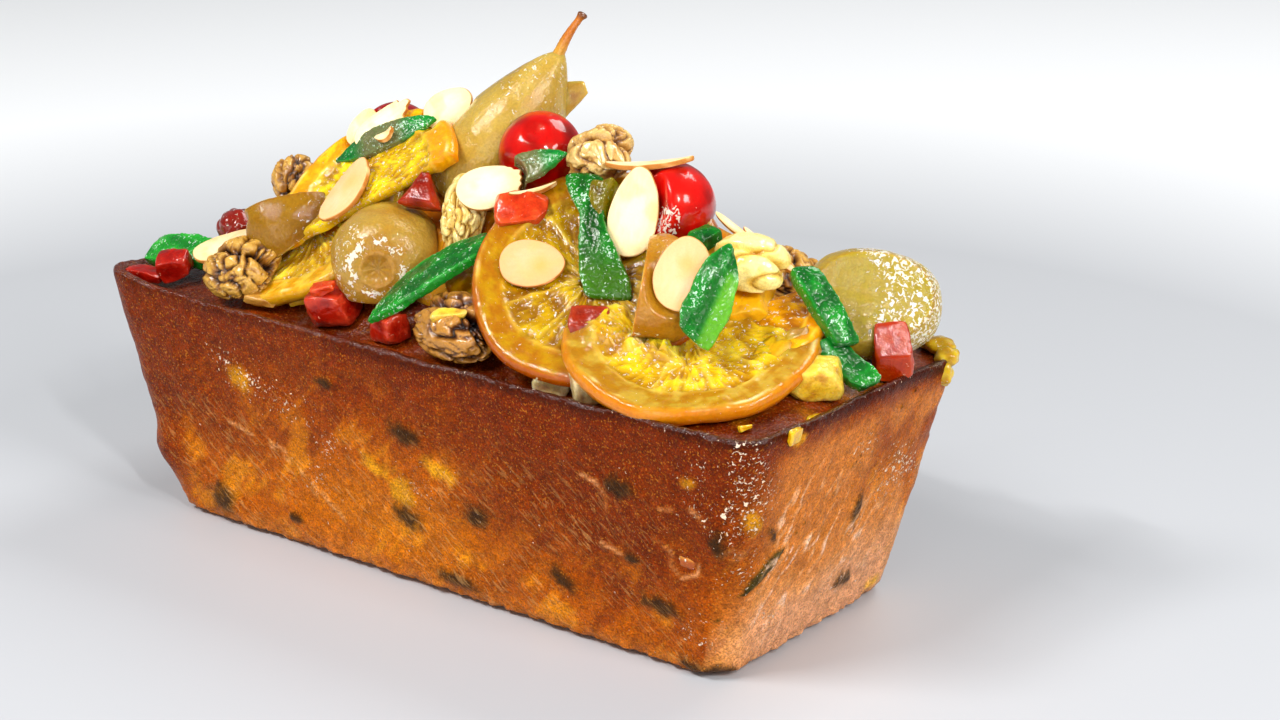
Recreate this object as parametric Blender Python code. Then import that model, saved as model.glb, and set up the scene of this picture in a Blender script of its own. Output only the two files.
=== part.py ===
"""Fruit cake: a tapered loaf whose domed crown carries candied fruit, nuts and sliced almonds.

The loaf lies along X, with its long front wall facing -Y. The origin is on the flat base, at its
middle. Sizes below are in millimetres and angles in degrees; the meshes are made in metres.
"""
import math

import bmesh
import bpy
from mathutils import Matrix, Vector, noise
from mathutils.bvhtree import BVHTree

MM = 0.001

# Loaf
BASE_LENGTH = 184.0
BASE_WIDTH = 74.0
RIM_LENGTH = 211.0
RIM_WIDTH = 91.0
RIM_HEIGHT = 65.0
BASE_CORNER = 10.0
RIM_CORNER = 8.0
END_BULGE = 1.5
CROWN_EDGE = 62.0
CROWN_RISE = 23.0
CROWN_WIDTH = 84.0
CROWN_LENGTH = 204.0
LONG_STEPS = 11
SHORT_STEPS = 5
CORNER_STEPS = 4
CRUST_RELIEF = 0.7

# Height and inset of each ring of the wall, from the flat base to the top of the rim.
WALL_RINGS = (
    (0.0, 4.5), (1.3, 1.4), (4.5, 0.2), (18.0, 0.0), (33.0, -0.4), (48.0, -0.2),
    (61.0, 0.0), (64.4, 0.3), (65.2, 1.4), (64.4, 2.9),
)
# Inset of each ring of the crown, from the foot of the rim to the ridge.
CROWN_INSETS = (5.0, 11.0, 19.0, 29.0)
# Where the rim stands higher or lower than its mean: x, y, height, reach.
RIM_WAVES = (
    (-103.0, -44.0, 2.4, 16.0),
    (103.0, 44.0, -2.2, 22.0),
    (20.0, -44.0, -0.6, 30.0),
    (-60.0, 44.0, -0.8, 30.0),
)

# Raisins that show in the crust: place along the wall, height, width, height of the raisin.
FRONT_RAISINS = (
    (0, 44, 9, 6), (-72, 9, 9, 7), (-43, 9, 5, 3), (-3, 20, 8, 7), (21, 26, 8, 6),
    (46, 16, 8, 6), (66, 46, 9, 5), (76, 17, 12, 5), (11, 6, 14, 4), (-26, 52, 6, 3),
)
RIGHT_RAISINS = ((-24, 24, 13, 6), (11, 29, 5, 8), (12, 11, 8, 4), (-27, 37, 5, 4))
BACK_RAISINS = (
    (-66, 40, 9, 6), (-38, 15, 8, 6), (-12, 33, 7, 5), (14, 12, 9, 5), (35, 46, 8, 5),
    (61, 24, 9, 7), (80, 9, 7, 4),
)
LEFT_RAISINS = ((-14, 41, 8, 5), (9, 18, 9, 6), (22, 50, 6, 4), (-20, 9, 6, 4))
RAISIN_PROUD = 0.25

# How far a piece is grown to cut its print, which leaves a gap of at least 0.25 where they touch.
# A piece with a finer outline than this is cut with a coarse one, grown a little further.
PRINT_OFFSET = 0.42
PRINT_FACES = 110
COARSE_PRINT_OFFSET = 0.80
# Points nearer than this are welded after a cut, and faces that meet flatter than this are joined.
WELD = 0.01
NUDGES = ((0.0, 0.0, 0.0), (0.03, -0.02, 0.04), (-0.04, 0.05, 0.02), (0.07, 0.06, -0.05))
FLAT_ANGLES = (4.0, 3.0, 2.0, 1.0, 0.5)

# Each row: name, centre, heading, rise and roll of the piece, then its sizes. The heading is the
# way its length points in plan, the rise lifts that end, and the roll turns it about its length.
ALMONDS = (
    ("almond_up_left", (-39, -20.5, 94.5), (85, 43, 9), (20, 11.5)),
    ("almond_over_walnut", (3, -13, 100.6), (30, 15, -58), (17.5, 11)),
    ("almond_low_middle", (26, -24.5, 88), (26, 0, -53), (16.5, 12)),
    ("almond_upright", (45.5, -10, 100.6), (90, 72, -27), (22, 12)),
    ("almond_by_fold", (70, -23, 93), (95, 68, -22), (17.5, 14)),
    ("almond_on_cherry", (44, -2, 111.2), (25, 7, -16), (22, 9)),
    ("almond_by_pear_neck", (-25, 4, 113), (35, 32, -61), (14, 10)),
    ("almond_round_top", (-50, -1, 104.5), (86, 55, -20), (11, 9)),
    ("almond_long_top", (-42, -3, 107.5), (42, 38, -47), (17, 8)),
    ("almond_left_corner", (-73, -30, 76.2), (31, 20, -20), (19, 11)),
    ("almond_back_slope", (36, 33, 82), (165, 0, -36), (20, 12)),
)
WALNUTS = (
    ("walnut_left", (-64, -33, 71.5), (5, 11, -36), (22, 17, 13)),
    ("walnut_low_middle", (11, -33.5, 70), (-5, -3, -30), (24, 16, 11)),
    ("walnut_top", (28, 0, 109.5), (21, 12, -34), (17, 15, 11)),
    ("walnut_far_left", (-77, 1, 85.5), (119, 29, 30), (14, 12, 11)),
    ("walnut_glazed_upright", (-5, -13, 92.5), (103, 65, 10), (21, 11, 9)),
    ("walnut_glazed_right", (75, -3, 91.5), (17, -8, -38), (19, 14, 10)),
    ("walnut_back", (65, 27, 77.5), (160, 5, -26), (22, 17, 13)),
)
CHERRIES = (
    ("cherry_by_pear", (7, 2, 106.5), (40, 10, -40), (10.0,)),
    ("cherry_right", (48, 1, 99.9), (120, 10, 25), (10.6,)),
    ("cherry_behind_almonds", (-44, 5, 101), (0, 0, -30), (9.8,)),
    ("cherry_wrinkled_left", (-81, -17, 75.5), (20, 0, 15), (6.0,)),
    ("cherry_back", (-7, 29, 83.5), (70, 0, 30), (10.0,)),
)
DICE = (
    ("red_die_corner", (-88, -34.5, 69), (25, 12, -20), (9, 8, 7.5, 0.1)),
    ("red_strip_corner", (-96, -37.5, 65.5), (8, 0, -15), (10, 4.5, 3.5, 0.0)),
    ("red_die_front", (-31, -34.5, 69), (20, 8, -18), (11.5, 10, 9, 0.1)),
    ("red_die_under_strip", (-11, -35.5, 67.3), (-15, 5, -10), (9, 7, 7, 0.0)),
    ("red_die_pointed", (-15.5, -17, 97.6), (110, 62, 0), (9, 12, 6, 0.85)),
    ("red_die_middle", (15, -15, 96.4), (35, 5, -48), (12, 10, 7, 0.15)),
    ("red_die_low", (46, -29, 78.5), (20, 8, -40), (10, 8, 7, 0.1)),
    ("red_die_right_end", (101, 18.5, 69.3), (50, 10, -60), (7.5, 12, 6, 0.0)),
    ("red_die_back", (-88, 31, 66.5), (160, 5, 25), (12, 10, 9, 0.1)),
)
PALE_CUBES = (
    ("pale_cube_left", (43, -37.5, 65.6), (25, -10, -20), (8.5, 6, 5, 0.0)),
    ("pale_cube_right", (53.5, -38, 66.3), (50, 5, -15), (7.5, 7, 7, 0.1)),
    ("citron_chunk", (97, -8, 69.3), (50, -4, -20), (13, 9, 8, 0.1)),
)
# Length, width and thickness, then the bend of the length in degrees and how far each end tapers.
GREEN_STRIPS = (
    ("green_curl_left", (-93, -27, 69), (8, 8, -25), (18, 8, 4), 30, (0.1, 0.1)),
    ("green_leaf_top", (-39, -6, 104.6), (15, 24, -44), (30, 8, 2.2), 20, (0.9, 0.7)),
    ("green_leaf_middle", (13, -11, 106.3), (25, 22, -50), (21, 8, 2.4), 20, (0.5, 0.9)),
    ("green_strip_down", (38.5, -16, 95.5), (-36, -47, -24), (34, 8.5, 3.4), 35, (0.15, 0.1)),
    ("green_strip_low_left", (-2, -31.5, 80.7), (39, 33, -21), (34, 10, 2.8), 18, (0.8, 0.25)),
    ("green_fold", (77.5, -22, 89.4), (76, 58, -46), (23, 10.5, 3.2), 25, (0.1, 0.8)),
    ("green_rod_right", (92.5, 2, 83.2), (-7, -47, -20), (21, 6.5, 4.5), 15, (0.1, 0.1)),
    ("green_piece_right_end", (99, 1.5, 70.5), (15, -37, -40), (16, 7, 3.6), -25, (0.2, 0.2)),
    ("green_strip_back", (-86, 13, 73.5), (205, -18, -20), (30, 9, 3), 20, (0.2, 0.6)),
)
# Radius and thickness, then the sweep that remains of the disc, and how deep it is dished.
ORANGE_SLICES = (
    ("orange_slice_front", (67, -15.5, 74), (30, 0, -17), (31, 4.6), (180, 360), 1.0),
    ("orange_slice_low", (40, -17, 85), (25, 4, -38), (31, 4.6), (75, 400), 1.5),
    ("orange_slice_up", (-33, -18.5, 91), (56, 43, -11), (30, 4.6), (-35, 150), 1.5),
    ("orange_slice_left", (-53, -15, 79), (-6, 13, -37), (26.5, 4.4), (0, 360), 2.0),
    ("orange_slice_middle", (16, -8, 89), (11, 9, -39), (28, 4.4), (150, 390), 1.0),
    ("orange_slice_right", (75, -3, 80), (27, 4, -33), (19, 4.4), (150, 390), 1.0),
    ("orange_slice_back_left", (-45, 20, 80.5), (185, 0, -33), (31, 4.6), (0, 360), 2.0),
    ("orange_slice_back_right", (29, 20, 84), (175, 0, -36), (31, 4.6), (150, 400), 1.5),
)
TORN_DEPTH = 3.4
WHOLE_RINGS = (0.0, 0.55, 0.90, 1.0)
TORN_RINGS = (0.0, 0.2, 0.4, 0.65, 0.90, 1.0)
# Length, radius and neck, then the planes that cut it: angle round the length and offset.
PEARS = (
    ("pear_with_stem", (-7.9, 8.3, 108), (33, 58, -85), (50, 14.5, 0.42), ((180, 2.0),)),
    ("pear_half_left", (-25, -19, 78.5), (120, -6, 0), (34, 14.2, 0.12), ((180, 9.0),)),
    ("pear_half_right_end", (91.5, 24.5, 77.5), (38, 0, 0), (33, 15.0, 0.10), ((180, 12.0),)),
    ("pear_wedge_left", (-59, -20, 82), (15, 31, -30), (27, 13, 0.3), ((180, 0.0), (60, 3.0))),
    ("pear_wedge_middle", (58.5, -18, 85.5), (114, 46, 6), (29, 13, 0.2), ((180, 0.0), (70, 4.0))),
    ("pear_half_ridge_left", (-48, 10, 88), (190, 8, 0), (44, 12.5, 0.3), ((180, 5.0),)),
    ("pear_half_ridge_middle", (24, 8, 91), (-5, -4, 0), (52, 13.5, 0.3), ((180, 6.0),)),
)
STEM_LENGTH = 15.0
STEM_RADIUS = 1.15

SHARP_ANGLE = 30.0

COLOURS = {
    "crust": ((0.42, 0.13, 0.03), 0.35),
    "almond": ((0.90, 0.76, 0.50), 0.45),
    "walnut": ((0.50, 0.29, 0.10), 0.35),
    "cherry": ((0.60, 0.02, 0.03), 0.12),
    "red_fruit": ((0.58, 0.06, 0.04), 0.25),
    "pale_fruit": ((0.72, 0.60, 0.38), 0.25),
    "green_fruit": ((0.02, 0.28, 0.07), 0.22),
    "orange": ((0.90, 0.45, 0.04), 0.18),
    "pear": ((0.72, 0.44, 0.12), 0.20),
}


def clear_scene():
    for obj in list(bpy.data.objects):
        bpy.data.objects.remove(obj)


def make_collection(name, hidden=False):
    collection = bpy.data.collections.new(name)
    collection.hide_render = hidden
    bpy.context.scene.collection.children.link(collection)
    return collection


def make_material(name):
    colour, roughness = COLOURS[name]
    material = bpy.data.materials.new(name)
    material.use_nodes = True
    shader = material.node_tree.nodes["Principled BSDF"]
    shader.inputs["Base Color"].default_value = (*colour, 1.0)
    shader.inputs["Roughness"].default_value = roughness
    shader.inputs["Metallic"].default_value = 0.0
    return material


def placement(centre, turn):
    """A matrix that lays local X along the heading and rise, with local Z as the piece's face."""
    heading, rise, roll = (math.radians(angle) for angle in turn)
    along = Vector((math.cos(heading) * math.cos(rise), math.sin(heading) * math.cos(rise),
                    math.sin(rise)))
    level = Vector((-math.sin(heading), math.cos(heading), 0.0))
    face = along.cross(level) * math.cos(roll) + level * math.sin(roll)
    side = face.cross(along)
    matrix = Matrix((along, side, face)).transposed().to_4x4()
    matrix.translation = Vector(centre) * MM
    return matrix


def add_object(form, name, material, matrix, collection):
    """Makes an object of a form that is modelled in millimetres."""
    bmesh.ops.scale(form, vec=(MM, MM, MM), verts=form.verts)
    bmesh.ops.recalc_face_normals(form, faces=form.faces)
    bmesh.ops.triangulate(form, faces=form.faces)
    mesh = bpy.data.meshes.new(name)
    form.to_mesh(mesh)
    form.free()
    mesh.materials.append(material)
    obj = bpy.data.objects.new(name, mesh)
    obj.matrix_world = matrix
    collection.objects.link(obj)
    return obj


def lump(point, grain, seed):
    """Smooth unevenness between -1 and 1, of lumps about as large as the grain."""
    return noise.noise(Vector(point) / grain + Vector((seed * 7.3, seed * 3.1, seed * 5.7)))


# The loaf


def rounded_outline(half_length, half_width, corner):
    """Points anticlockwise round a rectangle with rounded corners, the same number at any size."""
    corners = ((1, 1), (-1, 1), (-1, -1), (1, -1))
    arcs = []
    for number, (side_x, side_y) in enumerate(corners):
        middle = Vector((side_x * (half_length - corner), side_y * (half_width - corner)))
        arc = []
        for step in range(CORNER_STEPS + 1):
            angle = math.radians(90.0 * (number + step / CORNER_STEPS))
            arc.append(middle + corner * Vector((math.cos(angle), math.sin(angle))))
        arcs.append(arc)
    points = []
    for number, arc in enumerate(arcs):
        points += arc
        start, end = arc[-1], arcs[(number + 1) % 4][0]
        steps = SHORT_STEPS if number % 2 else LONG_STEPS
        points += [start.lerp(end, step / steps) for step in range(1, steps)]
    return points


def crown_height(x, y):
    across = math.cos(math.pi * min(abs(y) / CROWN_WIDTH, 0.5)) ** 2
    along = 1.0 - min(abs(2.0 * x / CROWN_LENGTH), 1.0) ** 3
    return CROWN_EDGE + CROWN_RISE * across * along


def rim_wave(x, y, z):
    """How far the rim and the wall under it rise or sink, from nothing at mid height."""
    share = min(max((z - 35.0) / (RIM_HEIGHT - 35.0), 0.0), 1.0)
    rise = sum(
        height * math.exp(-((x - at_x) ** 2 + (y - at_y) ** 2) / reach ** 2)
        for at_x, at_y, height, reach in RIM_WAVES
    )
    return share * (rise + 0.5 * lump((x, y, 0.0), 17.0, 3))


def wall_ring(z, inset):
    grow = z / RIM_HEIGHT
    half_length = 0.5 * (BASE_LENGTH + (RIM_LENGTH - BASE_LENGTH) * grow) - inset
    half_width = 0.5 * (BASE_WIDTH + (RIM_WIDTH - BASE_WIDTH) * grow) - inset
    corner = max(BASE_CORNER + (RIM_CORNER - BASE_CORNER) * grow - 0.6 * inset, 5.0)
    ring = []
    for point in rounded_outline(half_length, half_width, corner):
        x, y = point
        bulge = END_BULGE * grow * max(1.0 - (2.0 * y / RIM_WIDTH) ** 2, 0.0)
        x += math.copysign(bulge, x) if abs(x) > half_length - corner else 0.0
        if z > 1.0:
            out = CRUST_RELIEF * lump((x, y, z), 14.0, 1)
            x += math.copysign(out, x) if abs(x) > half_length - 0.5 * corner else 0.0
            y += math.copysign(out, y) if abs(y) > half_width - 0.5 * corner else 0.0
        ring.append(Vector((x, y, z + rim_wave(x, y, z))))
    return ring


def crown_ring(inset):
    """A ring of the crown, drawn in towards the ridge from the foot of the rim."""
    ring = []
    ridge = 0.5 * (RIM_LENGTH - RIM_WIDTH)
    share = 1.0 - inset / (0.5 * RIM_WIDTH)
    for point in rounded_outline(0.5 * RIM_LENGTH, 0.5 * RIM_WIDTH, RIM_CORNER):
        root = Vector((min(max(point.x, -ridge), ridge), 0.0))
        x, y = root + (point - root) * share
        z = crown_height(x, y) + 0.8 * lump((x, y, 0.0), 15.0, 5)
        ring.append(Vector((x, y, z)))
    return ring


def bridge(form, lower, upper):
    count = len(lower)
    for step in range(count):
        after = (step + 1) % count
        form.faces.new((lower[step], lower[after], upper[after], upper[step]))


def loaf_form():
    form = bmesh.new()
    rings = [wall_ring(z, inset) for z, inset in WALL_RINGS]
    rings += [crown_ring(inset) for inset in CROWN_INSETS]
    made = [[form.verts.new(point) for point in ring] for ring in rings]
    for lower, upper in zip(made, made[1:]):
        bridge(form, lower, upper)
    form.faces.new(list(reversed(made[0])))
    ridge = [form.verts.new(point) for point in crown_ring(0.5 * RIM_WIDTH)]
    bridge(form, made[-1], ridge)
    bmesh.ops.remove_doubles(form, verts=ridge, dist=0.05)
    return form


def wall_spot(wall, place, z):
    """The point and the outward direction of a wall at a height."""
    grow = z / RIM_HEIGHT
    x = 0.5 * (BASE_LENGTH + (RIM_LENGTH - BASE_LENGTH) * grow)
    y = 0.5 * (BASE_WIDTH + (RIM_WIDTH - BASE_WIDTH) * grow)
    spots = {
        "front": ((place, -y, z), (0, -1, 0)),
        "back": ((place, y, z), (0, 1, 0)),
        "right": ((x, place, z), (1, 0, 0)),
        "left": ((-x, place, z), (-1, 0, 0)),
    }
    point, out = spots[wall]
    return Vector(point), Vector(out)


def add_raisins(loaf, material, collection):
    """Joins the raisins to the loaf as low bumps of its crust."""
    raisins = make_collection("raisins")
    walls = (("front", FRONT_RAISINS), ("right", RIGHT_RAISINS), ("back", BACK_RAISINS),
             ("left", LEFT_RAISINS))
    for wall, rows in walls:
        for number, (place, z, width, height) in enumerate(rows):
            point, out = wall_spot(wall, place, z)
            form = bmesh.new()
            bmesh.ops.create_icosphere(form, subdivisions=2, radius=0.5)
            depth = 3.0
            across = Vector((-out.y, out.x, 0.0))
            for vert in form.verts:
                x, y, z_local = vert.co
                spot = across * x * width + out * y * depth + Vector((0, 0, z_local * height))
                vert.co = spot * (1.0 + 0.2 * lump(vert.co, 0.4, number))
            centre = point - out * (0.5 * depth - RAISIN_PROUD - CRUST_RELIEF * 0.6)
            matrix = Matrix.Translation(centre * MM)
            add_object(form, f"raisin_{wall}_{number}", material, matrix, raisins)
    union = loaf.modifiers.new("raisins", "BOOLEAN")
    union.operation = "UNION"
    union.operand_type = "COLLECTION"
    union.collection = raisins
    apply_modifiers(loaf)
    for obj in list(raisins.objects):
        bpy.data.objects.remove(obj)
    bpy.data.collections.remove(raisins)


# The fruit and the nuts, each modelled lying along X with its face up along Z


def almond_form(sizes, seed):
    """A thin slice of almond: an oval that narrows to one end and curls a little."""
    length, width = sizes
    form = bmesh.new()
    bmesh.ops.create_circle(form, cap_ends=True, cap_tris=True, segments=16, radius=1.0)
    bmesh.ops.solidify(form, geom=form.faces[:], thickness=1.3)
    for vert in form.verts:
        x, y, z = vert.co
        narrowing = 1.0 - 0.16 * x
        edge = 1.0 + 0.05 * lump((x, y, 0.0), 0.7, seed)
        curl = 0.7 * x * x - 0.5 * y * y
        vert.co = (0.5 * length * x * edge, 0.5 * width * y * narrowing * edge, z + curl)
    return form


def walnut_form(sizes, seed):
    """Half a walnut kernel: two lobes either side of a groove, folded like a brain."""
    length, width, height = sizes
    form = bmesh.new()
    bmesh.ops.create_uvsphere(form, u_segments=12, v_segments=9, radius=1.0)
    for vert in form.verts:
        point = vert.co.copy()
        fold = 1.0 - 2.4 * abs(lump(point, 0.62, seed))
        groove = 0.26 * math.exp(-((point.y / 0.16) ** 2)) * (point.z > -0.2)
        notch = 0.22 * math.exp(-(((point.x - 1.0) / 0.35) ** 2 + (point.y / 0.4) ** 2))
        size = 1.0 + 0.13 * fold - groove - notch
        z = point.z if point.z > 0.0 else 0.55 * point.z
        vert.co = (0.5 * length * point.x * size, 0.5 * width * point.y * size,
                   0.62 * height * z * size)
    return form


def cherry_form(sizes, seed):
    """A candied cherry, with the dimple that its stalk leaves, at Z."""
    radius = sizes[0]
    form = bmesh.new()
    bmesh.ops.create_uvsphere(form, u_segments=12, v_segments=8, radius=radius)
    for vert in form.verts:
        reach = math.hypot(vert.co.x, vert.co.y) / radius
        dimple = 0.24 * radius * math.exp(-((reach / 0.3) ** 2)) if vert.co.z > 0 else 0.0
        vert.co *= 1.0 + 0.05 * lump(vert.co, radius * 1.1, seed)
        vert.co.z = vert.co.z * 0.95 - dimple
    return form


def die_form(sizes, seed):
    """A small cube of candied fruit, cut by hand: no two faces are parallel, and one end narrows."""
    form = bmesh.new()
    bmesh.ops.create_cube(form, size=1.0)
    bmesh.ops.subdivide_edges(form, edges=form.edges[:], cuts=1, use_grid_fill=True)
    for vert in form.verts:
        point = vert.co.copy()
        round_off = 1.0 - 0.20 * max(point.length - 0.62, 0.0)
        shift = Vector([0.12 * lump(point, 0.8, seed + axis) for axis in range(3)])
        point = point * round_off + shift
        narrow = 1.0 - sizes[3] * (0.5 + point.x)
        vert.co = (point.x * sizes[0], point.y * sizes[1] * narrow, point.z * sizes[2] * narrow)
    corners = [vert for vert in form.verts if len(vert.link_edges) == 3]
    bmesh.ops.bevel(form, geom=corners, offset=0.9, segments=1, affect="VERTICES")
    return form


def strip_form(sizes, bend, taper, seed):
    """A strip of green candied fruit that bends along its length and thins to its ends."""
    length, width, thickness = sizes
    form = bmesh.new()
    bmesh.ops.create_cube(form, size=1.0)
    lengthwise = [edge for edge in form.edges
                  if abs(edge.verts[0].co.x - edge.verts[1].co.x) > 0.5]
    bmesh.ops.subdivide_edges(form, edges=lengthwise, cuts=6)
    crosswise = [edge for edge in form.edges
                 if abs(edge.verts[0].co.y - edge.verts[1].co.y) > 0.5]
    bmesh.ops.subdivide_edges(form, edges=crosswise, cuts=1)
    bend_angle = math.radians(bend)
    radius = length / bend_angle
    for vert in form.verts:
        x, y, z = vert.co
        end = taper[1] if x > 0 else taper[0]
        narrow = 1.0 - end * abs(2.0 * x) ** 2.2
        slant = 0.12 * y
        edge = 1.0 + 0.16 * lump((x * 5.0, y * 2.0, 0.0), 1.0, seed)
        crown = 0.35 * thickness * (0.25 - y * y)
        angle = (x + slant) * bend_angle
        reach = radius + z * thickness * (1.0 - 0.5 * end * abs(2.0 * x) ** 3) + crown
        vert.co = (reach * math.sin(angle), y * width * narrow * edge,
                   reach * math.cos(angle) - radius)
    return form


def slice_form(sizes, sweep, dish, seed, torn_edge):
    """A candied orange slice: rind, pith and flesh, whole or part of the round."""
    radius, thickness = sizes
    start, end = (math.radians(angle) for angle in sweep)
    whole = sweep[1] - sweep[0] >= 360
    around = max(int(22 * (sweep[1] - sweep[0]) / 360), 8)
    rings = TORN_RINGS if torn_edge else WHOLE_RINGS
    form = bmesh.new()
    grid = bmesh.ops.create_grid(form, x_segments=around, y_segments=len(rings) - 1, size=1.0)
    for vert in grid["verts"]:
        ring = round((vert.co.y + 1.0) * 0.5 * (len(rings) - 1))
        angle = start + (end - start) * (vert.co.x + 1.0) * 0.5
        reach = rings[ring]
        wobble = 1.0 + 0.03 * lump((math.cos(angle), math.sin(angle), 0.0), 0.5, seed)
        vert.co = (radius * reach * wobble * math.cos(angle),
                   radius * reach * wobble * math.sin(angle), 0.0)
    bmesh.ops.remove_doubles(form, verts=form.verts, dist=0.01)
    bmesh.ops.recalc_face_normals(form, faces=form.faces)
    bmesh.ops.solidify(form, geom=form.faces[:], thickness=thickness)
    middle = sum(vert.co.z for vert in form.verts) / len(form.verts)
    for vert in form.verts:
        x, y, z = vert.co
        reach = math.hypot(x, y) / radius
        angle = math.atan2(y, x)
        torn = not whole and reach < 0.9 and cut_distance(x, y, start, end) < 0.4
        side = (z - middle) * (0.62 if reach > 0.97 else 0.80 if reach < 0.85 else 1.0)
        ragged = TORN_DEPTH * lump((x, y, 0.0), 5.0, seed) if torn else 0.0
        bent = dish * (reach * reach * (0.6 + 0.6 * math.cos(2.0 * angle + seed)))
        rough = 0.35 * lump((x, y, z), 5.0, seed)
        push = Vector((math.cos(0.5 * (start + end)), math.sin(0.5 * (start + end)), 0.0))
        vert.co = Vector((x, y, side + bent + rough)) - push * (1.2 * torn + ragged)
    return form


def cut_distance(x, y, start, end):
    """How far a point lies from the straight cuts that bound part of a round."""
    return min(abs(x * math.sin(angle) - y * math.cos(angle)) for angle in (start, end))


def pear_form(sizes, cuts, seed):
    """A candied pear along X, with its neck at +X, less what the flat cuts take off."""
    length, radius, neck = sizes
    form = bmesh.new()
    bmesh.ops.create_uvsphere(form, u_segments=14, v_segments=10, radius=1.0)
    for vert in form.verts:
        axis = vert.co.z
        across = Vector((vert.co.x, vert.co.y))
        girth = radius * (0.92 - neck * axis - 0.35 * neck * max(axis, 0.0) ** 3)
        calyx = 0.10 * length * math.exp(-((across.length / 0.28) ** 2)) if axis < 0 else 0.0
        swell = 1.0 + 0.05 * lump(vert.co, 0.8, seed)
        vert.co = (0.5 * length * axis + calyx, girth * across.x * swell,
                   girth * across.y * swell)
    for angle, offset in cuts:
        outward = Vector((0.0, math.sin(math.radians(angle)), math.cos(math.radians(angle))))
        cut = bmesh.ops.bisect_plane(
            form, geom=form.verts[:] + form.edges[:] + form.faces[:], dist=0.001,
            plane_co=outward * offset, plane_no=outward, clear_outer=True)
        rim = [part for part in cut["geom_cut"] if isinstance(part, bmesh.types.BMEdge)]
        bmesh.ops.edgeloop_fill(form, edges=rim)
    return form


def stem_form(seed):
    """The stalk of a pear: a thin tapered rod with a slight bend and a knob at its end."""
    form = bmesh.new()
    bmesh.ops.create_cone(form, cap_ends=True, segments=8, radius1=1.0, radius2=1.0, depth=1.0)
    lengthwise = [edge for edge in form.edges
                  if abs(edge.verts[0].co.z - edge.verts[1].co.z) > 0.5]
    bmesh.ops.subdivide_edges(form, edges=lengthwise, cuts=6)
    for vert in form.verts:
        share = vert.co.z + 0.5
        knob = 0.55 * math.exp(-(((share - 0.97) / 0.08) ** 2))
        girth = STEM_RADIUS * (1.5 - 0.9 * share + knob + 0.5 * (share < 0.1))
        sway = 0.9 * math.sin(2.6 * share + seed)
        vert.co = (STEM_LENGTH * share, vert.co.x * girth + sway, vert.co.y * girth)
    return form


# Fitting the pieces to each other


def apply_modifiers(obj):
    graph = bpy.context.evaluated_depsgraph_get()
    mesh = bpy.data.meshes.new_from_object(obj.evaluated_get(graph))
    obj.modifiers.clear()
    old = obj.data
    obj.data = mesh
    bpy.data.meshes.remove(old)
    mesh.name = obj.name


def outer_hull(obj):
    """The convex outline of a piece. The loaf isn't convex, so it keeps its own surface."""
    form = bmesh.new()
    if obj.name == "cake":
        form.from_mesh(obj.data)
        return form
    for vert in obj.data.vertices:
        form.verts.new(vert.co)
    hull = bmesh.ops.convex_hull(form, input=form.verts[:])
    inner = {part for part in hull["geom_interior"] + hull["geom_unused"]
             if isinstance(part, bmesh.types.BMVert)}
    bmesh.ops.delete(form, geom=list(inner), context="VERTS")
    return form


def print_of(obj, collection):
    """A grown outline of a piece, which cuts its print into a softer one."""
    form = outer_hull(obj)
    share = PRINT_FACES / len(form.faces)
    coarse = share < 1.0 and obj.name != "cake"
    bmesh.ops.recalc_face_normals(form, faces=form.faces)
    form.normal_update()
    for vert, normal in [(vert, vert.normal.copy()) for vert in form.verts]:
        vert.co += normal * (COARSE_PRINT_OFFSET if coarse else PRINT_OFFSET) * MM
    mesh = bpy.data.meshes.new(f"print_{obj.name}")
    form.to_mesh(mesh)
    form.free()
    cutter = bpy.data.objects.new(f"print_{obj.name}", mesh)
    cutter.matrix_world = obj.matrix_world
    cutter.hide_render = True
    cutter.display_type = "WIRE"
    collection.objects.link(cutter)
    if coarse:
        cutter.modifiers.new("coarse", "DECIMATE").ratio = share
        apply_modifiers(cutter)
    return cutter


def surface_tree(obj):
    corners = [obj.matrix_world @ vert.co for vert in obj.data.vertices]
    return BVHTree.FromPolygons(corners, [face.vertices for face in obj.data.polygons])


def keep_largest(obj):
    """Drops the scraps that a cut leaves, and keeps the largest body."""
    form = bmesh.new()
    form.from_mesh(obj.data)
    bmesh.ops.remove_doubles(form, verts=form.verts, dist=WELD * MM)
    bmesh.ops.dissolve_degenerate(form, edges=form.edges, dist=WELD * MM)
    left = set(form.faces)
    bodies = []
    while left:
        body = set()
        queue = [left.pop()]
        while queue:
            face = queue.pop()
            body.add(face)
            beside = {other for edge in face.edges if len(edge.link_faces) == 2
                      for other in edge.link_faces} & left
            left -= beside
            queue += beside
        bodies.append(body)
    bodies.sort(key=lambda body: sum(face.calc_area() for face in body))
    scraps = [face for body in bodies[:-1] for face in body]
    bmesh.ops.delete(form, geom=scraps, context="FACES")
    bmesh.ops.triangulate(form, faces=form.faces)
    form.to_mesh(obj.data)
    form.free()


def join_flat_faces(obj, firmer):
    """Joins faces that cuts have split, where they are nearly flat and it keeps the gaps open."""
    before = obj.data.copy()
    for angle in FLAT_ANGLES:
        form = bmesh.new()
        form.from_mesh(before)
        bmesh.ops.dissolve_limit(form, angle_limit=math.radians(angle), verts=form.verts,
                                 edges=form.edges)
        bmesh.ops.triangulate(form, faces=form.faces)
        form.to_mesh(obj.data)
        form.free()
        surface = surface_tree(obj)
        clear = not any(surface.overlap(tree) for tree in firmer)
        if clear and is_sound(obj.data, volume_of(before)):
            return
    obj.data = before


def is_sound(mesh, most):
    """Whether a mesh is closed, and holds some volume but no more than it did."""
    form = bmesh.new()
    form.from_mesh(mesh)
    closed = all(len(edge.link_faces) == 2 for edge in form.edges)
    volume = form.calc_volume(signed=True)
    form.free()
    return closed and 0.2 * most < volume < 1.02 * most


def volume_of(mesh):
    form = bmesh.new()
    form.from_mesh(mesh)
    volume = form.calc_volume(signed=True)
    form.free()
    return volume


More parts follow.
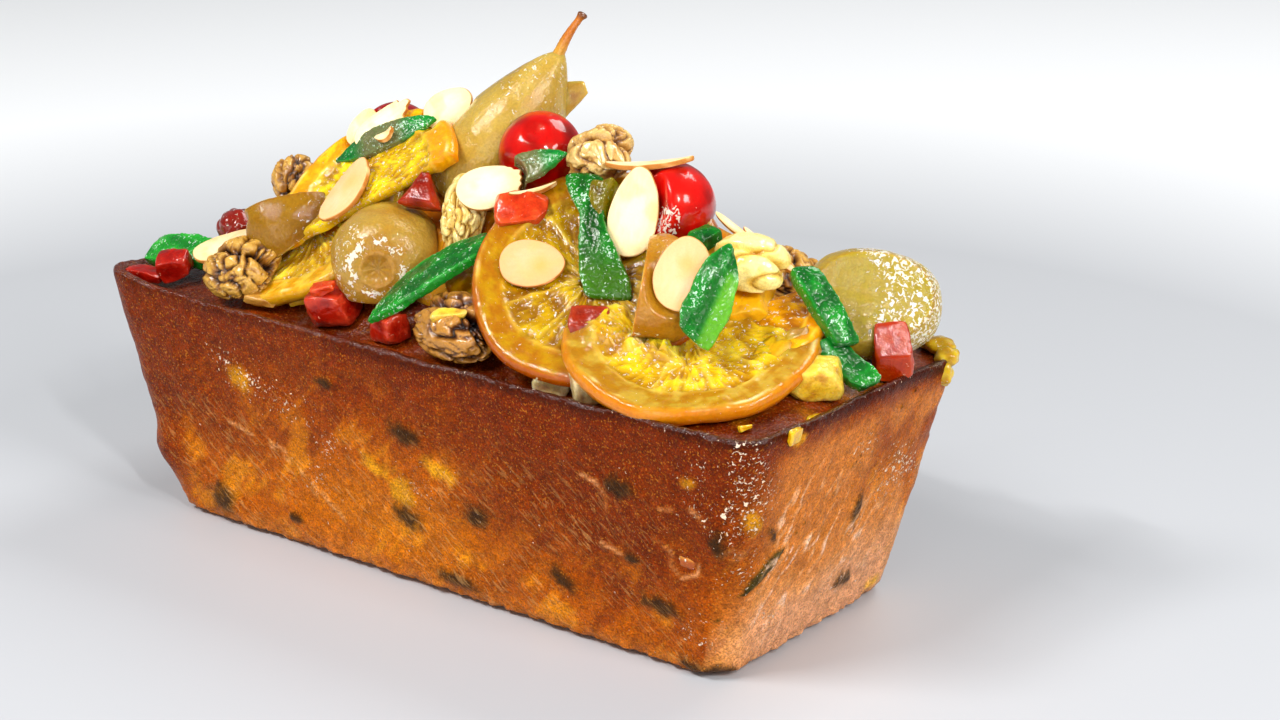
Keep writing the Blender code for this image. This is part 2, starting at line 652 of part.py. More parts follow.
def cut_print(piece, cutter):
    """Cuts a firmer piece's print, with another solver or a nudged print where a cut fails."""
    whole = piece.data.copy()
    rest = cutter.matrix_world.copy()
    for nudge in NUDGES:
        cutter.matrix_world = Matrix.Translation(Vector(nudge) * MM) @ rest
        for solver in ("EXACT", "MANIFOLD"):
            cut = piece.modifiers.new(f"room for {cutter.name}", "BOOLEAN")
            cut.operation = "DIFFERENCE"
            cut.object = cutter
            cut.solver = solver
            apply_modifiers(piece)
            keep_largest(piece)
            if is_sound(piece.data, volume_of(whole)):
                cutter.matrix_world = rest
                return
            piece.data = whole.copy()
    cutter.matrix_world = rest


def press_together(pieces, cutters):
    """Lets each piece give way to the firmer ones before it, wherever it would touch them."""
    prints = []
    firmer = []
    for piece in pieces:
        for cutter, tree in prints:
            if not surface_tree(piece).overlap(tree):
                continue
            cut_print(piece, cutter)
        if piece.name != "cake":
            join_flat_faces(piece, firmer)
        firmer.append(surface_tree(piece))
        cutter = print_of(piece, cutters)
        prints.append((cutter, surface_tree(cutter)))
    for cutter, _ in prints:
        bpy.data.objects.remove(cutter)


def shade(obj):
    obj.data.shade_smooth()
    obj.data.set_sharp_from_angle(angle=math.radians(SHARP_ANGLE))


def build():
    clear_scene()
    cake = make_collection("fruit_cake")
    cutters = make_collection("prints", hidden=True)
    materials = {name: make_material(name) for name in COLOURS}

    loaf = add_object(loaf_form(), "cake", materials["crust"], Matrix(), cake)
    add_raisins(loaf, materials["crust"], cake)
    pieces = {"cake": loaf}

    def place(form, row, material):
        pieces[row[0]] = add_object(form, row[0], materials[material],
                                    placement(row[1], row[2]), cake)

    simple = (
        (ALMONDS, almond_form, "almond"), (WALNUTS, walnut_form, "walnut"),
        (CHERRIES, cherry_form, "cherry"), (DICE, die_form, "red_fruit"),
        (PALE_CUBES, die_form, "pale_fruit"),
    )
    for rows, make_form, material in simple:
        for seed, row in enumerate(rows):
            place(make_form(row[3], seed), row, material)
    for seed, row in enumerate(GREEN_STRIPS):
        place(strip_form(row[3], row[4], row[5], seed), row, "green_fruit")
    for seed, row in enumerate(ORANGE_SLICES[:1]):
        place(slice_form(row[3], row[4], row[5], seed, True), row, "orange")
    for seed, row in enumerate(PEARS):
        place(pear_form(row[3], row[4], seed), row, "pear")
    for seed, row in enumerate(ORANGE_SLICES[1:], start=1):
        place(slice_form(row[3], row[4], row[5], seed, False), row, "orange")

    add_stem(pieces["pear_with_stem"], materials["pear"], cake)
    press_together(list(pieces.values()), cutters)
    for piece in pieces.values():
        shade(piece)


def add_stem(pear, material, collection):
    stem = add_object(stem_form(0), "stem", material, pear.matrix_world, collection)
    tip = max(vert.co.x for vert in pear.data.vertices)
    stem.matrix_world = pear.matrix_world @ Matrix.Translation((tip - 3.5 * MM, 0.0, 0.0))
    joined = pear.modifiers.new("stem", "BOOLEAN")
    joined.operation = "UNION"
    joined.object = stem
    apply_modifiers(pear)
    bpy.data.objects.remove(stem)


build()
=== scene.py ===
# %% [markdown]
# # A fruit cake with candied fruit on top
#
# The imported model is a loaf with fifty-nine solids on it. It says where every piece lies and how
# large it is. This lesson makes the pieces that the eye sees: a baked crust, orange slices with
# pulp and rind, glassy pears, wet cherries, folded walnut kernels and thin flakes of almond.
#
# Each piece is worked out on a fine grid of points, as numbers in millimetres, and then turned
# into a mesh. Working with whole arrays of points keeps every shape a short formula.

import math
from types import SimpleNamespace

import bmesh
import bpy
import numpy as np
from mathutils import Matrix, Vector, noise
from mathutils.bvhtree import BVHTree


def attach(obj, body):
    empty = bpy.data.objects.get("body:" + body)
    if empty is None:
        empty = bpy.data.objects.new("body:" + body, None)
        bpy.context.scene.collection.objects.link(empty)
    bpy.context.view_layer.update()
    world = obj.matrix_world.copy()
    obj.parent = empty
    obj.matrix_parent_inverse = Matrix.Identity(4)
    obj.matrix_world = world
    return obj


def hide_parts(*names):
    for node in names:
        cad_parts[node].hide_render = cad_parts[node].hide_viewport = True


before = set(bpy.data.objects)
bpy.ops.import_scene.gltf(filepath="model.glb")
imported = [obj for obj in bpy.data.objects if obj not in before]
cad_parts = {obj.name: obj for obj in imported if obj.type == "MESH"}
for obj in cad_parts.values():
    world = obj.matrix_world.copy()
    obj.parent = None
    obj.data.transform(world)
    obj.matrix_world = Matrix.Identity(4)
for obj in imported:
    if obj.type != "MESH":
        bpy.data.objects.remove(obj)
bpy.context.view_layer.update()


def in_metres(corner):
    return [round(side, 4) for side in corner]


# %% [markdown]
# ## Unevenness
#
# Nothing on a cake is regular. Smooth noise gives lumps of a chosen size, and a seed moves the
# pattern, so that no two pieces have the same lumps. The noise is read once for every point.

# %% Noise, soft steps and mixing
MM = 0.001


def lumps(points, grain, seed):
    """Smooth unevenness between -1 and 1 at each point, of lumps about as large as the grain."""
    shift = np.array((seed * 7.3, seed * 3.1, seed * 5.7))
    places = (np.asarray(points, float) / grain + shift).tolist()
    return np.array([noise.noise(place) for place in places])


def soft_step(low, high, value):
    """A share that goes from 0 to 1 between low and high, with soft ends."""
    share = np.clip((value - low) / (high - low), 0.0, 1.0)
    return share * share * (3.0 - 2.0 * share)


def mix(first, second, share):
    """Paint that goes from the first colour to the second as the share goes from 0 to 1."""
    first = np.asarray(first, float)
    second = np.asarray(second, float)
    share = np.clip(np.asarray(share, float), 0.0, 1.0)[:, None]
    return first * (1.0 - share) + second * share


def bell(distance, width):
    """A share that is 1 at no distance and fades over the width."""
    return np.exp(-((distance / width) ** 2))


print("lumps at three points:", lumps(((0, 0, 1), (0, 5, 1), (5, 5, 1)), 4.0, 1).round(2))

# %% [markdown]
# ## From a grid of points to a piece
#
# A cherry, a nut, a pear and even a slice of orange can all be drawn as a globe: rows of points
# run from one pole to the other, and each row goes once round. The rows are joined with quads and
# the points that meet at a pole are welded. A piece is then turned by three angles in degrees:
# its heading on the table, the rise of its local X, and its roll about that.

# %% Placing, globes and skins


def placement(centre, turn):
    """Rotation and centre that lay local X along heading and rise, with local Z as the face."""
    heading, rise, roll = (math.radians(angle) for angle in turn)
    along = Vector((math.cos(heading) * math.cos(rise), math.sin(heading) * math.cos(rise),
                    math.sin(rise)))
    level = Vector((-math.sin(heading), math.cos(heading), 0.0))
    face = along.cross(level) * math.cos(roll) + level * math.sin(roll)
    side = face.cross(along)
    return np.array((along, side, face)).T, np.array(centre, float)


def rows_and_turns(rows, columns, last):
    """How far down each point's row is, from 0 to the last, and how far round the point is."""
    down = np.repeat(np.linspace(0.0, last, rows), columns)
    spin = np.tile(np.linspace(0.0, 2.0 * math.pi, columns, endpoint=False), rows)
    return down, spin


def globe(rows, columns):
    """Unit directions on a globe, row by row from the pole at +Z to the pole at -Z."""
    polar, spin = rows_and_turns(rows, columns, math.pi)
    return np.stack((np.sin(polar) * np.cos(spin), np.sin(polar) * np.sin(spin),
                     np.cos(polar)), axis=1)


def grid_faces(rows, columns):
    """Quads that join each row to the next, closed round each row."""
    here = np.arange(columns)
    after = np.roll(here, -1)
    faces = [np.stack((here + columns * (row + 1), after + columns * (row + 1),
                       after + columns * row, here + columns * row), axis=1)
             for row in range(rows - 1)]
    return np.concatenate(faces)


print("points on a globe of 5 rows and 8 columns:", len(globe(5, 8)))

# %% [markdown]
# ### Pieces that touch
#
# Soft fruit gives way. Where a piece would stand out of its solid, it is drawn back to it, except
# for a little slack that leaves room for fine detail. Where an almond flake lies on a piece, the
# piece is pushed behind the flake, so that the flake isn't cut by what is under it.

# %% Press a piece into its place
FLAKE_THICKNESS = 1.3
FLAKE_CURL = 0.7
FLAKE_SAG = 0.5
FLAKE_CLEARANCE = 0.7
FLAKE_REACH = 9.5
SMOOTHING_PASSES = 3
UNDER_FLAKES = ("green_leaf_middle",)
flakes_laid = []


def flake_curl(x, y):
    """How high a flake stands at a place that is 1 at its ends along x and at its sides along y."""
    return FLAKE_CURL * x ** 2 - FLAKE_SAG * y ** 2


def under_flakes(points):
    """How far each point has to move to lie behind the almond flakes that rest on it."""
    push = np.zeros(points.shape)
    for (rotation, centre), length, width in flakes_laid:
        along, across, above = ((points - centre) @ rotation).T
        x, y = 2.0 * along / length, 2.0 * across / width
        above = above - flake_curl(x, y) + FLAKE_THICKNESS + FLAKE_CLEARANCE
        near = (above > 0.0) * (above < FLAKE_REACH)
        near = (1.0 - soft_step(1.02, 1.35, np.hypot(x, y))) * near
        push -= (above * near)[:, None] * rotation[:, 2]
    return push


def pressed_in(points, node, slack, columns):
    """Draws points in that stand out of the node's solid by more than the slack."""
    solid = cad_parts[node].data
    tree = BVHTree.FromPolygons([vert.co / MM for vert in solid.vertices],
                                [face.vertices for face in solid.polygons])
    push = np.zeros(points.shape)
    for number, place in enumerate(points):
        near, outward, _, away = tree.find_nearest(place)
        if away > slack and (Vector(place) - near).dot(outward) > 0.0:
            push[number] = (near - Vector(place)) * (1.0 - slack / away)
    if columns or node in UNDER_FLAKES:
        push += under_flakes(points + push)
    if columns:
        push = push.reshape(-1, columns, 3)
        for _ in range(SMOOTHING_PASSES):
            beside = np.roll(push, 1, axis=1) + np.roll(push, -1, axis=1)
            above = np.concatenate((push[:1], push[:-1])) + np.concatenate((push[1:], push[-1:]))
            push = 0.5 * push + 0.125 * (beside + above)
        push = push.reshape(-1, 3)
    return points + push


# %% [markdown]
# ### From points to a mesh
#
# The points and quads become a mesh in metres. Each point also carries its own paint, as a painter
# would lay it on, and a glint frost: how much sugar and painted glint lies there. The materials read
# both, so the colours need no pictures.

# %% Make a piece
SCREEN_GAMMA = 2.2
WELD_WITHIN = 0.002


def make_piece(name, points, faces, paint, finish, slot, node=None, pose=None, glint_frost=0.0,
               slack=None, columns=0):
    """Turns points in millimetres and quads into a finished piece that rides on the cake."""
    if pose is not None:
        points = points @ pose[0].T + pose[1]
    if slack is not None:
        points = pressed_in(points, node, slack, columns)
    elif slot != "almond":
        points = points + under_flakes(points)
    mesh = bpy.data.meshes.new(name)
    mesh.from_pydata((points * MM).tolist(), [], np.asarray(faces).tolist())
    colours = np.ones((len(points), 4))
    colours[:, :3] = np.clip(paint, 0.0, 255.0) / 255.0
    colours[:, :3] = colours[:, :3] ** SCREEN_GAMMA
    layer = mesh.color_attributes.new("paint", "FLOAT_COLOR", "POINT")
    layer.data.foreach_set("color", colours.ravel())
    glint_layer = mesh.attributes.new("glint_frost", "FLOAT", "POINT")
    glint_layer.data.foreach_set("value", np.ones(len(points)) * glint_frost)
    form = bmesh.new()
    form.from_mesh(mesh)
    bmesh.ops.remove_doubles(form, verts=form.verts, dist=WELD_WITHIN * MM)
    bmesh.ops.recalc_face_normals(form, faces=form.faces)
    form.to_mesh(mesh)
    form.free()
    mesh.shade_smooth()
    mesh.materials.append(finish)
    piece = bpy.data.objects.new(name, mesh)
    bpy.context.scene.collection.objects.link(piece)
    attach(piece, "root")
    if node:
        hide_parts(node)
    return piece


def join_parts(name, parts, finish, slot, glint_frost):
    """Makes one piece of several small shapes of a kind, each given by points, faces and paint."""
    points, faces, paint = [], [], []
    count = 0
    for part_points, part_faces, part_paint in parts:
        faces += (np.asarray(part_faces) + count).tolist()
        points.append(part_points)
        paint.append(part_paint)
        count += len(part_points)
    return make_piece(name, np.concatenate(points), faces, np.concatenate(paint), finish, slot,
                      glint_frost=glint_frost)


# %% [markdown]
# ## Wet, translucent finishes
#
# Candied fruit is soaked in syrup. Light goes in, wanders about and comes out again nearby, which
# is subsurface scattering, and a thin wet coat on top gives sharp highlights. A fine bump breaks
# those highlights into sparkles, and small islands of the paint are made near white as painted
# glints, which stand for sparkles and set sugar both. Every finish reads the paint that its piece
# carries, so that one material serves all the fruit of a kind.

# %% Small helpers for material nodes


def set_sockets(node, values):
    """Writes constant values on a node's sockets."""
    for socket, value in values.items():
        node.inputs[socket].default_value = value


def new_material(name):
    """A new material, its node tree and its main shader."""
    material = bpy.data.materials.new(name)
    material.use_nodes = True
    return material, material.node_tree, material.node_tree.nodes["Principled BSDF"]


def carried(tree, name):
    """A value that each point of the piece carries: its paint or its frost."""
    node = tree.nodes.new("ShaderNodeAttribute")
    node.attribute_name = name
    return node.outputs


def on_piece(tree):
    """Places that are fixed to the piece."""
    return tree.nodes.new("ShaderNodeTexCoord").outputs["Object"]


def grains_at(tree, place, scale, detail, distortion):
    """Noise read at a place, in so many grains to each unit of length."""
    grains = tree.nodes.new("ShaderNodeTexNoise")
    set_sockets(grains, {"Scale": scale, "Detail": detail, "Distortion": distortion})
    tree.links.new(place, grains.inputs["Vector"])
    return grains.outputs["Fac"]


def texture_noise(tree, size, detail, distortion=0.0):
    """Noise in grains of the given size in millimetres."""
    return grains_at(tree, on_piece(tree), 1.0 / (size * MM), detail, distortion)


def combine(tree, operation, first, second):
    """One sum of two values, where the second is a socket or a plain number."""
    node = tree.nodes.new("ShaderNodeMath")
    node.operation = operation
    tree.links.new(first, node.inputs[0])
    if isinstance(second, float):
        node.inputs[1].default_value = second
    else:
        tree.links.new(second, node.inputs[1])
    return node.outputs["Value"]


def times(tree, first, second):
    return combine(tree, "MULTIPLY", first, second)


def ramp(tree, value, low, high, to_low=0.0, to_high=1.0):
    """Carries a value from one range to another."""
    node = tree.nodes.new("ShaderNodeMapRange")
    set_sockets(node, {"From Min": low, "From Max": high, "To Min": to_low, "To Max": to_high})
    tree.links.new(value, node.inputs["Value"])
    return node.outputs["Result"]


def bump(tree, height, depth, normal=None):
    """Tilts the surface by a height map whose full range is the depth, in millimetres."""
    node = tree.nodes.new("ShaderNodeBump")
    node.inputs["Distance"].default_value = depth * MM
    tree.links.new(height, node.inputs["Height"])
    if normal is not None:
        tree.links.new(normal, node.inputs["Normal"])
    return node.outputs["Normal"]


def over(tree, share, under, top):
    """Lays one plain colour over another by a share."""
    node = tree.nodes.new("ShaderNodeMix")
    node.data_type = "RGBA"
    tree.links.new(share, node.inputs[0])
    tree.links.new(under, node.inputs[6])
    node.inputs[7].default_value = (*top, 1.0)
    return node.outputs[2]


# %% [markdown]
# ### Sugar and painted glints, flecks and glow
#
# Three things make fruit look candied. Islands of set sugar and painted glints lie on it: they are
# raised a little and painted near white, and the glint frost of each point says how much of it
# they cover. Flecks make the paint darker and lighter in fine grains.
# The glow says how much light goes in and how far each colour travels before it comes out.

# %% The finish of candied fruit


def sugar_and_glint_islands(tree, size, most):
    """Islands of sugar and painted glints: none where the glint frost is 0, and most where it is 1."""
    lift = times(tree, carried(tree, "glint_frost")["Fac"], most)
    grains = texture_noise(tree, size, 1.5, 0.8)
    return ramp(tree, combine(tree, "ADD", grains, lift), 0.77, 0.84)


def tinted(tree, colour, fleck, low, high):
    """The paint, made darker and lighter by the flecks of a noise."""
    tone = tree.nodes.new("ShaderNodeHueSaturation")
    tree.links.new(colour, tone.inputs["Color"])
    tree.links.new(ramp(tree, fleck, 0.3, 0.7, low, high), tone.inputs["Value"])
    return tone.outputs["Color"]


def glow_inside(shader, weight, reach):
    """Scattered light that travels as far as reach, in millimetres for red, green and blue."""
    set_sockets(shader, {"Subsurface Weight": weight, "Subsurface Radius": reach,
                         "Subsurface Scale": MM})


def wear_relief(tree, shader, normal):
    """Gives the surface and the wet coat on it the same relief."""
    for socket in ("Normal", "Coat Normal"):
        tree.links.new(normal, shader.inputs[socket])


CLEAR_SUGAR_GLINT = (0.90, 0.86, 0.74)


def candied(name, glow, reach, grain, depth, roughness=0.35, sugar=CLEAR_SUGAR_GLINT, mottle=0.14,
            sugar_size=1.2, waves=0.5):
    """Translucent fruit. The glow is the share of scattered light, and reach is how far it goes."""
    material, tree, shader = new_material(name)
    islands = sugar_and_glint_islands(tree, sugar_size, 0.24)
    wavy = bump(tree, texture_noise(tree, 2.6, 2.0), waves)
    fleck = texture_noise(tree, grain, 3.0)
    wear_relief(tree, shader, bump(tree, islands, 0.16, bump(tree, fleck, depth, wavy)))
    colour = tinted(tree, carried(tree, "paint")["Color"], fleck, 1.0 - mottle, 1.0 + mottle)
    # The sugar colour is laid on the islands as painted glints over the fruit's paint.
    glint_painted = over(tree, times(tree, islands, 0.75), colour, sugar)
    tree.links.new(glint_painted, shader.inputs["Base Color"])
    set_sockets(shader, {"Roughness": roughness, "Specular IOR Level": 0.12,
                         "Specular Tint": (1.0, 0.75, 0.40, 1.0), "Coat IOR": 1.42,
                         "Coat Weight": 0.9, "Coat Roughness": 0.03})
    glow_inside(shader, glow, reach)
    return material


orange_finish = candied("candied_orange", 0.45, (2.4, 1.0, 0.15), 0.9, 0.12, mottle=0.08,
                        sugar=(0.97, 0.93, 0.84), sugar_size=0.75, waves=0.22)
pear_finish = candied("candied_pear", 0.70, (3.2, 1.9, 0.6), 0.6, 0.13, sugar_size=0.95, waves=0.40)
cherry_finish = candied("candied_cherry", 0.40, (2.4, 0.2, 0.1), 1.8, 0.05, roughness=0.3,
                        mottle=0.08, waves=0.10)
red_finish = candied("red_candied_cube", 0.35, (2.2, 0.3, 0.2), 0.6, 0.10,
                     sugar=(0.86, 0.42, 0.26), waves=0.3)
green_finish = candied("green_candied_strip", 0.35, (0.5, 1.8, 0.3), 0.7, 0.14,
                       sugar=(0.62, 0.85, 0.66), sugar_size=0.75)
pale_finish = candied("pale_candied_cube", 0.65, (2.4, 1.8, 0.7), 0.6, 0.18)
print("candied finishes:", 6)

# %% [markdown]
# ### Crust
#
# The crust is a fine brown sponge of crumb, matt below and wet with glaze along the rim. Small pale
# raised islands of paint on it are painted glints. Low on the walls the crumb was drawn into fine
# slanting threads when the loaf left its tin. The same finish with a strong coat serves the wet crown.

# %% The finish of the crust
ACROSS_THREADS = (820.0, -820.0, 800.0)
ALONG_THREADS = (170.0, -170.0, -170.0)
TO_CORNER = (1.0, -1.0, 0.0)
UPWARDS = (0.0, 0.0, 1.0)
GOLDEN_DOTS = (0.62, 0.22, 0.02)
THREAD_TAN = (0.84, 0.42, 0.13)
GLINT_TAN = (0.90, 0.68, 0.50)


def distance_along(tree, place, aim):
    """How far a place lies in the direction of an aim, times the aim's length."""
    node = tree.nodes.new("ShaderNodeVectorMath")
    node.operation = "DOT_PRODUCT"
    tree.links.new(place, node.inputs[0])
    node.inputs[1].default_value = aim
    return node.outputs["Value"]


def threads(tree):
    """Fine pale threads that slant down the walls, low down and away from two of the corners."""
    place = on_piece(tree)
    slanted = tree.nodes.new("ShaderNodeCombineXYZ")
    tree.links.new(distance_along(tree, place, ACROSS_THREADS), slanted.inputs["X"])
    tree.links.new(distance_along(tree, place, ALONG_THREADS), slanted.inputs["Y"])
    line = ramp(tree, grains_at(tree, slanted.outputs["Vector"], 1.0, 1.0, 0.6), 0.55, 0.66)
    low = ramp(tree, distance_along(tree, place, UPWARDS), 0.054, 0.030)
    patch = ramp(tree, texture_noise(tree, 16.0, 1.0), 0.40, 0.56)
    to_corner = distance_along(tree, place, TO_CORNER)
    to_corner = combine(tree, "MAXIMUM", to_corner, times(tree, to_corner, -1.0))
    clear = ramp(tree, to_corner, 0.126, 0.118)
    return times(tree, times(tree, line, low), times(tree, patch, clear))


def crust(name, coat):
    """Browned crumb with pores, threads, golden dots and painted glints under a coat of glaze."""
    material, tree, shader = new_material(name)
    paint = carried(tree, "paint")["Color"]
    pores = texture_noise(tree, 0.5, 3.0)
    # Painted glints: pale, slightly raised islands where the glint frost of the wall is high.
    glint_spots = sugar_and_glint_islands(tree, 0.9, 0.22)
    drawn = threads(tree)
    coarse = bump(tree, texture_noise(tree, 1.9, 3.0), 0.6)
    raised = bump(tree, drawn, 0.15, bump(tree, pores, 0.35, coarse))
    wear_relief(tree, shader, bump(tree, glint_spots, 0.25, raised))
    colour = tinted(tree, paint, pores, 0.52, 1.46)
    colour = tinted(tree, colour, texture_noise(tree, 2.4, 2.0), 0.76, 1.24)
    bands = tree.nodes.new("ShaderNodeSeparateColor")
    tree.links.new(paint, bands.inputs["Color"])
    light_crust = ramp(tree, bands.outputs["Red"], 0.05, 0.13)
    dots = ramp(tree, texture_noise(tree, 0.55, 1.0), 0.60, 0.72, 0.0, 0.5)
    colour = over(tree, times(tree, dots, light_crust), colour, GOLDEN_DOTS)
    colour = over(tree, times(tree, drawn, 0.28), colour, THREAD_TAN)
    tree.links.new(over(tree, glint_spots, colour, GLINT_TAN), shader.inputs["Base Color"])
    set_sockets(shader, {"Roughness": 0.34, "Specular IOR Level": 0.06,
                         "Specular Tint": (1.0, 0.7, 0.45, 1.0), "Coat Weight": coat,
                         "Coat Roughness": 0.10})
    glow_inside(shader, 0.08, (1.2, 0.4, 0.1))
    return material


crust_finish = crust("baked_crust", 0.07)
wet_crown_finish = crust("syrupy_crown", 0.9)
print("crust finishes:", 2)

# %% [markdown]
# ### Nuts and almonds
#
# Walnuts have a thin glaze over a fine brown grain. Almond flakes have none: their cut face is
# waxy and lets a little light through. One short function makes both.

# %% The finish of the nuts and the almonds


def dry(name, grain, depth, roughness, coat, glow, low, high):
    """A finish of fine flecks, which make the paint darker and lighter between low and high."""
    material, tree, shader = new_material(name)
    fleck = texture_noise(tree, grain, 4.0)
    tree.links.new(bump(tree, fleck, depth), shader.inputs["Normal"])
    colour = tinted(tree, carried(tree, "paint")["Color"], fleck, low, high)
    tree.links.new(colour, shader.inputs["Base Color"])
    set_sockets(shader, {"Roughness": roughness, "Specular IOR Level": 0.25,
                         "Coat Weight": coat, "Coat Roughness": 0.08})
    glow_inside(shader, glow, (1.0, 0.7, 0.3))
    return material


walnut_finish = dry("walnut_kernel", 0.45, 0.12, 0.45, 0.8, 0.12, 0.80, 1.16)
almond_finish = dry("almond_flake", 0.45, 0.03, 0.55, 0.0, 0.30, 0.95, 1.04)
print("dry finishes:", 2)

# %% [markdown]
# ## The loaf
#
# A loaf takes the shape of its tin: a flat base with soft edges, four walls that lean out, and a
# thin rim where the batter climbed. The crown rises from inside the rim to a ridge. Rings of
# points are drawn at many heights from the same few sizes as the solid model.

# %% Sizes of the loaf
BASE_LENGTH = 184.0
BASE_WIDTH = 74.0
RIM_LENGTH = 211.0
RIM_WIDTH = 91.0
RIM_HEIGHT = 65.0
BASE_CORNER = 10.0
RIM_CORNER = 8.0
END_BULGE = 1.5
CROWN_EDGE = 62.0
CROWN_RISE = 23.0
CROWN_WIDTH = 84.0
CROWN_LENGTH = 204.0
LONG_STEPS = 262
SHORT_STEPS = 112
CORNER_STEPS = 14
WALL_PROFILE = (
    (0.0, 4.5), (1.3, 1.4), (4.5, 0.2), (18.0, 0.0), (33.0, -0.4), (48.0, -0.2),
    (61.0, 0.0), (64.4, 0.3), (65.2, 1.4), (64.4, 2.9),
)
PROFILE_STEPS = (3, 5, 17, 19, 19, 16, 5, 3, 3)

# %% Rings of the wall and the crown


def rounded_outline(half_length, half_width, corner):
    """Points anticlockwise round a rectangle with rounded corners, the same number at any size."""
    corners = ((1, 1), (-1, 1), (-1, -1), (1, -1))
    arcs = []
    for number, (side_x, side_y) in enumerate(corners):
        angles = math.pi / 2.0 * (number + np.linspace(0.0, 1.0, CORNER_STEPS + 1))
        arcs.append(np.stack((side_x * (half_length - corner) + corner * np.cos(angles),
                              side_y * (half_width - corner) + corner * np.sin(angles)), axis=1))
    points = []
    for number, arc in enumerate(arcs):
        steps = SHORT_STEPS if number % 2 else LONG_STEPS
        share = np.linspace(0.0, 1.0, steps + 1)[1:-1, None]
        points += [arc, arc[-1] * (1.0 - share) + arcs[(number + 1) % 4][0] * share]
    return np.concatenate(points)


def half_sizes(z):
    """Half the length and half the width of the loaf at a height, because its walls lean out."""
    grow = z / RIM_HEIGHT
    return (0.5 * (BASE_LENGTH + (RIM_LENGTH - BASE_LENGTH) * grow),
            0.5 * (BASE_WIDTH + (RIM_WIDTH - BASE_WIDTH) * grow))


def wall_ring(z, inset):
    """One ring of the wall at a height, drawn in by the inset, with its ends bulging a little."""
    grow = z / RIM_HEIGHT
    half_length, half_width = (half - inset for half in half_sizes(z))
    corner = max(BASE_CORNER + (RIM_CORNER - BASE_CORNER) * grow - 0.6 * inset, 5.0)
    flat = rounded_outline(half_length, half_width, corner)
    bulge = END_BULGE * grow * np.maximum(1.0 - (2.0 * flat[:, 1] / RIM_WIDTH) ** 2, 0.0)
    flat[:, 0] += np.sign(flat[:, 0]) * bulge * (np.abs(flat[:, 0]) > half_length - corner)
    return np.column_stack((flat, np.full(len(flat), z)))


def crown_height(x, y):
    """The height of the crown: a ridge along the middle that falls to the rim."""
    across = np.cos(math.pi * np.minimum(np.abs(y) / CROWN_WIDTH, 0.5)) ** 2
    along = 1.0 - np.minimum(np.abs(2.0 * x / CROWN_LENGTH), 1.0) ** 3
    return CROWN_EDGE + CROWN_RISE * across * along


def crown_ring(inset):
    """One ring of the crown, shrunk towards the ridge."""
    ridge = 0.5 * (RIM_LENGTH - RIM_WIDTH)
    share = 1.0 - inset / (0.5 * RIM_WIDTH)
    flat = rounded_outline(0.5 * RIM_LENGTH, 0.5 * RIM_WIDTH, RIM_CORNER)
    root = np.column_stack((np.clip(flat[:, 0], -ridge, ridge), np.zeros(len(flat))))
    flat = root + (flat - root) * share
    ring = np.column_stack((flat, crown_height(flat[:, 0], flat[:, 1])))
    ring[:, 2] += 0.8 * lumps(np.column_stack((flat, np.zeros(len(flat)))), 15.0, 5)
    return ring


def smooth_path(corners, steps):
    """A curve through the corners, with the given number of steps between each two."""
    corners = np.asarray(corners, float)
    padded = np.vstack((2 * corners[0] - corners[1], corners, 2 * corners[-1] - corners[-2]))
    path = []
    for number in range(1, len(padded) - 2):
        before, start, end, after = padded[number - 1:number + 3]
        for share in np.linspace(0.0, 1.0, steps[number - 1], endpoint=False):
            path.append(0.5 * (2 * start + (end - before) * share
                               + (2 * before - 5 * start + 4 * end - after) * share ** 2
                               + (3 * start - before - 3 * end + after) * share ** 3))
    path.append(corners[-1])
    return np.array(path)


profile = smooth_path(WALL_PROFILE, PROFILE_STEPS)
wall = np.array([wall_ring(max(z, 0.0), inset) for z, inset in profile])
crown_insets = np.concatenate((np.linspace(3.8, 12.0, 9), np.linspace(14.0, 0.5 * RIM_WIDTH, 14)))
crown = np.array([crown_ring(inset) for inset in crown_insets])
print("loaf rings:", len(wall), "in the wall and", len(crown), "in the crown")

# %% [markdown]
# ### Fruit that shows in the crust
#
# Fruit that touches the tin shows through the crust as dark soft spots that stand a little proud,
# and shreds of yellow peel show in the same way. Each spot is a tilted oval with a ragged edge.
# A row gives its place along the wall, its height, its width and how tall it is.

# %% Spots of fruit in the crust
FRONT_RAISINS = (
    (0, 44, 9, 6), (-70.5, 8, 9, 9), (-43, 9, 5, 3), (-3, 20, 8, 7), (21, 26, 8, 6),
    (46, 16, 8, 6), (66, 46, 9, 5), (76, 17, 12, 5), (11, 6, 14, 4), (-26, 52, 6, 3),
    (83, 3, 7, 5), (94, 38, 4, 7), (91, 2, 4, 4), (69, 28, 5, 3),
)
RIGHT_RAISINS = ((7, 32, 4, 10), (9, 12, 7, 5), (-30, 38, 3, 5), (41, 40, 4, 8), (-35, 2, 5, 4))
BACK_RAISINS = (
    (-66, 40, 9, 6), (-38, 15, 8, 6), (-12, 33, 7, 5), (14, 12, 9, 5), (35, 46, 8, 5),
    (61, 24, 9, 7), (80, 9, 7, 4),
)
LEFT_RAISINS = ((-14, 41, 8, 5), (9, 18, 9, 6), (22, 50, 6, 4), (-20, 9, 6, 4))
FRONT_PEEL = ((-12, 32, 8, 6), (-4, 27, 8, 9), (10, 36, 9, 6), (87, 52, 4, 3), (-57, 46, 9, 6))
RIGHT_PEEL = ((-28, 62, 6, 4), (-38, 44, 4, 7), (25, 5, 6, 4))
BACK_PEEL = ((-50, 28, 5, 4), (5, 50, 4, 3), (48, 12, 5, 4))
LEFT_PEEL = ((4, 35, 4, 4), (-8, 12, 4, 3))
WALL_DEPTH = 6.0

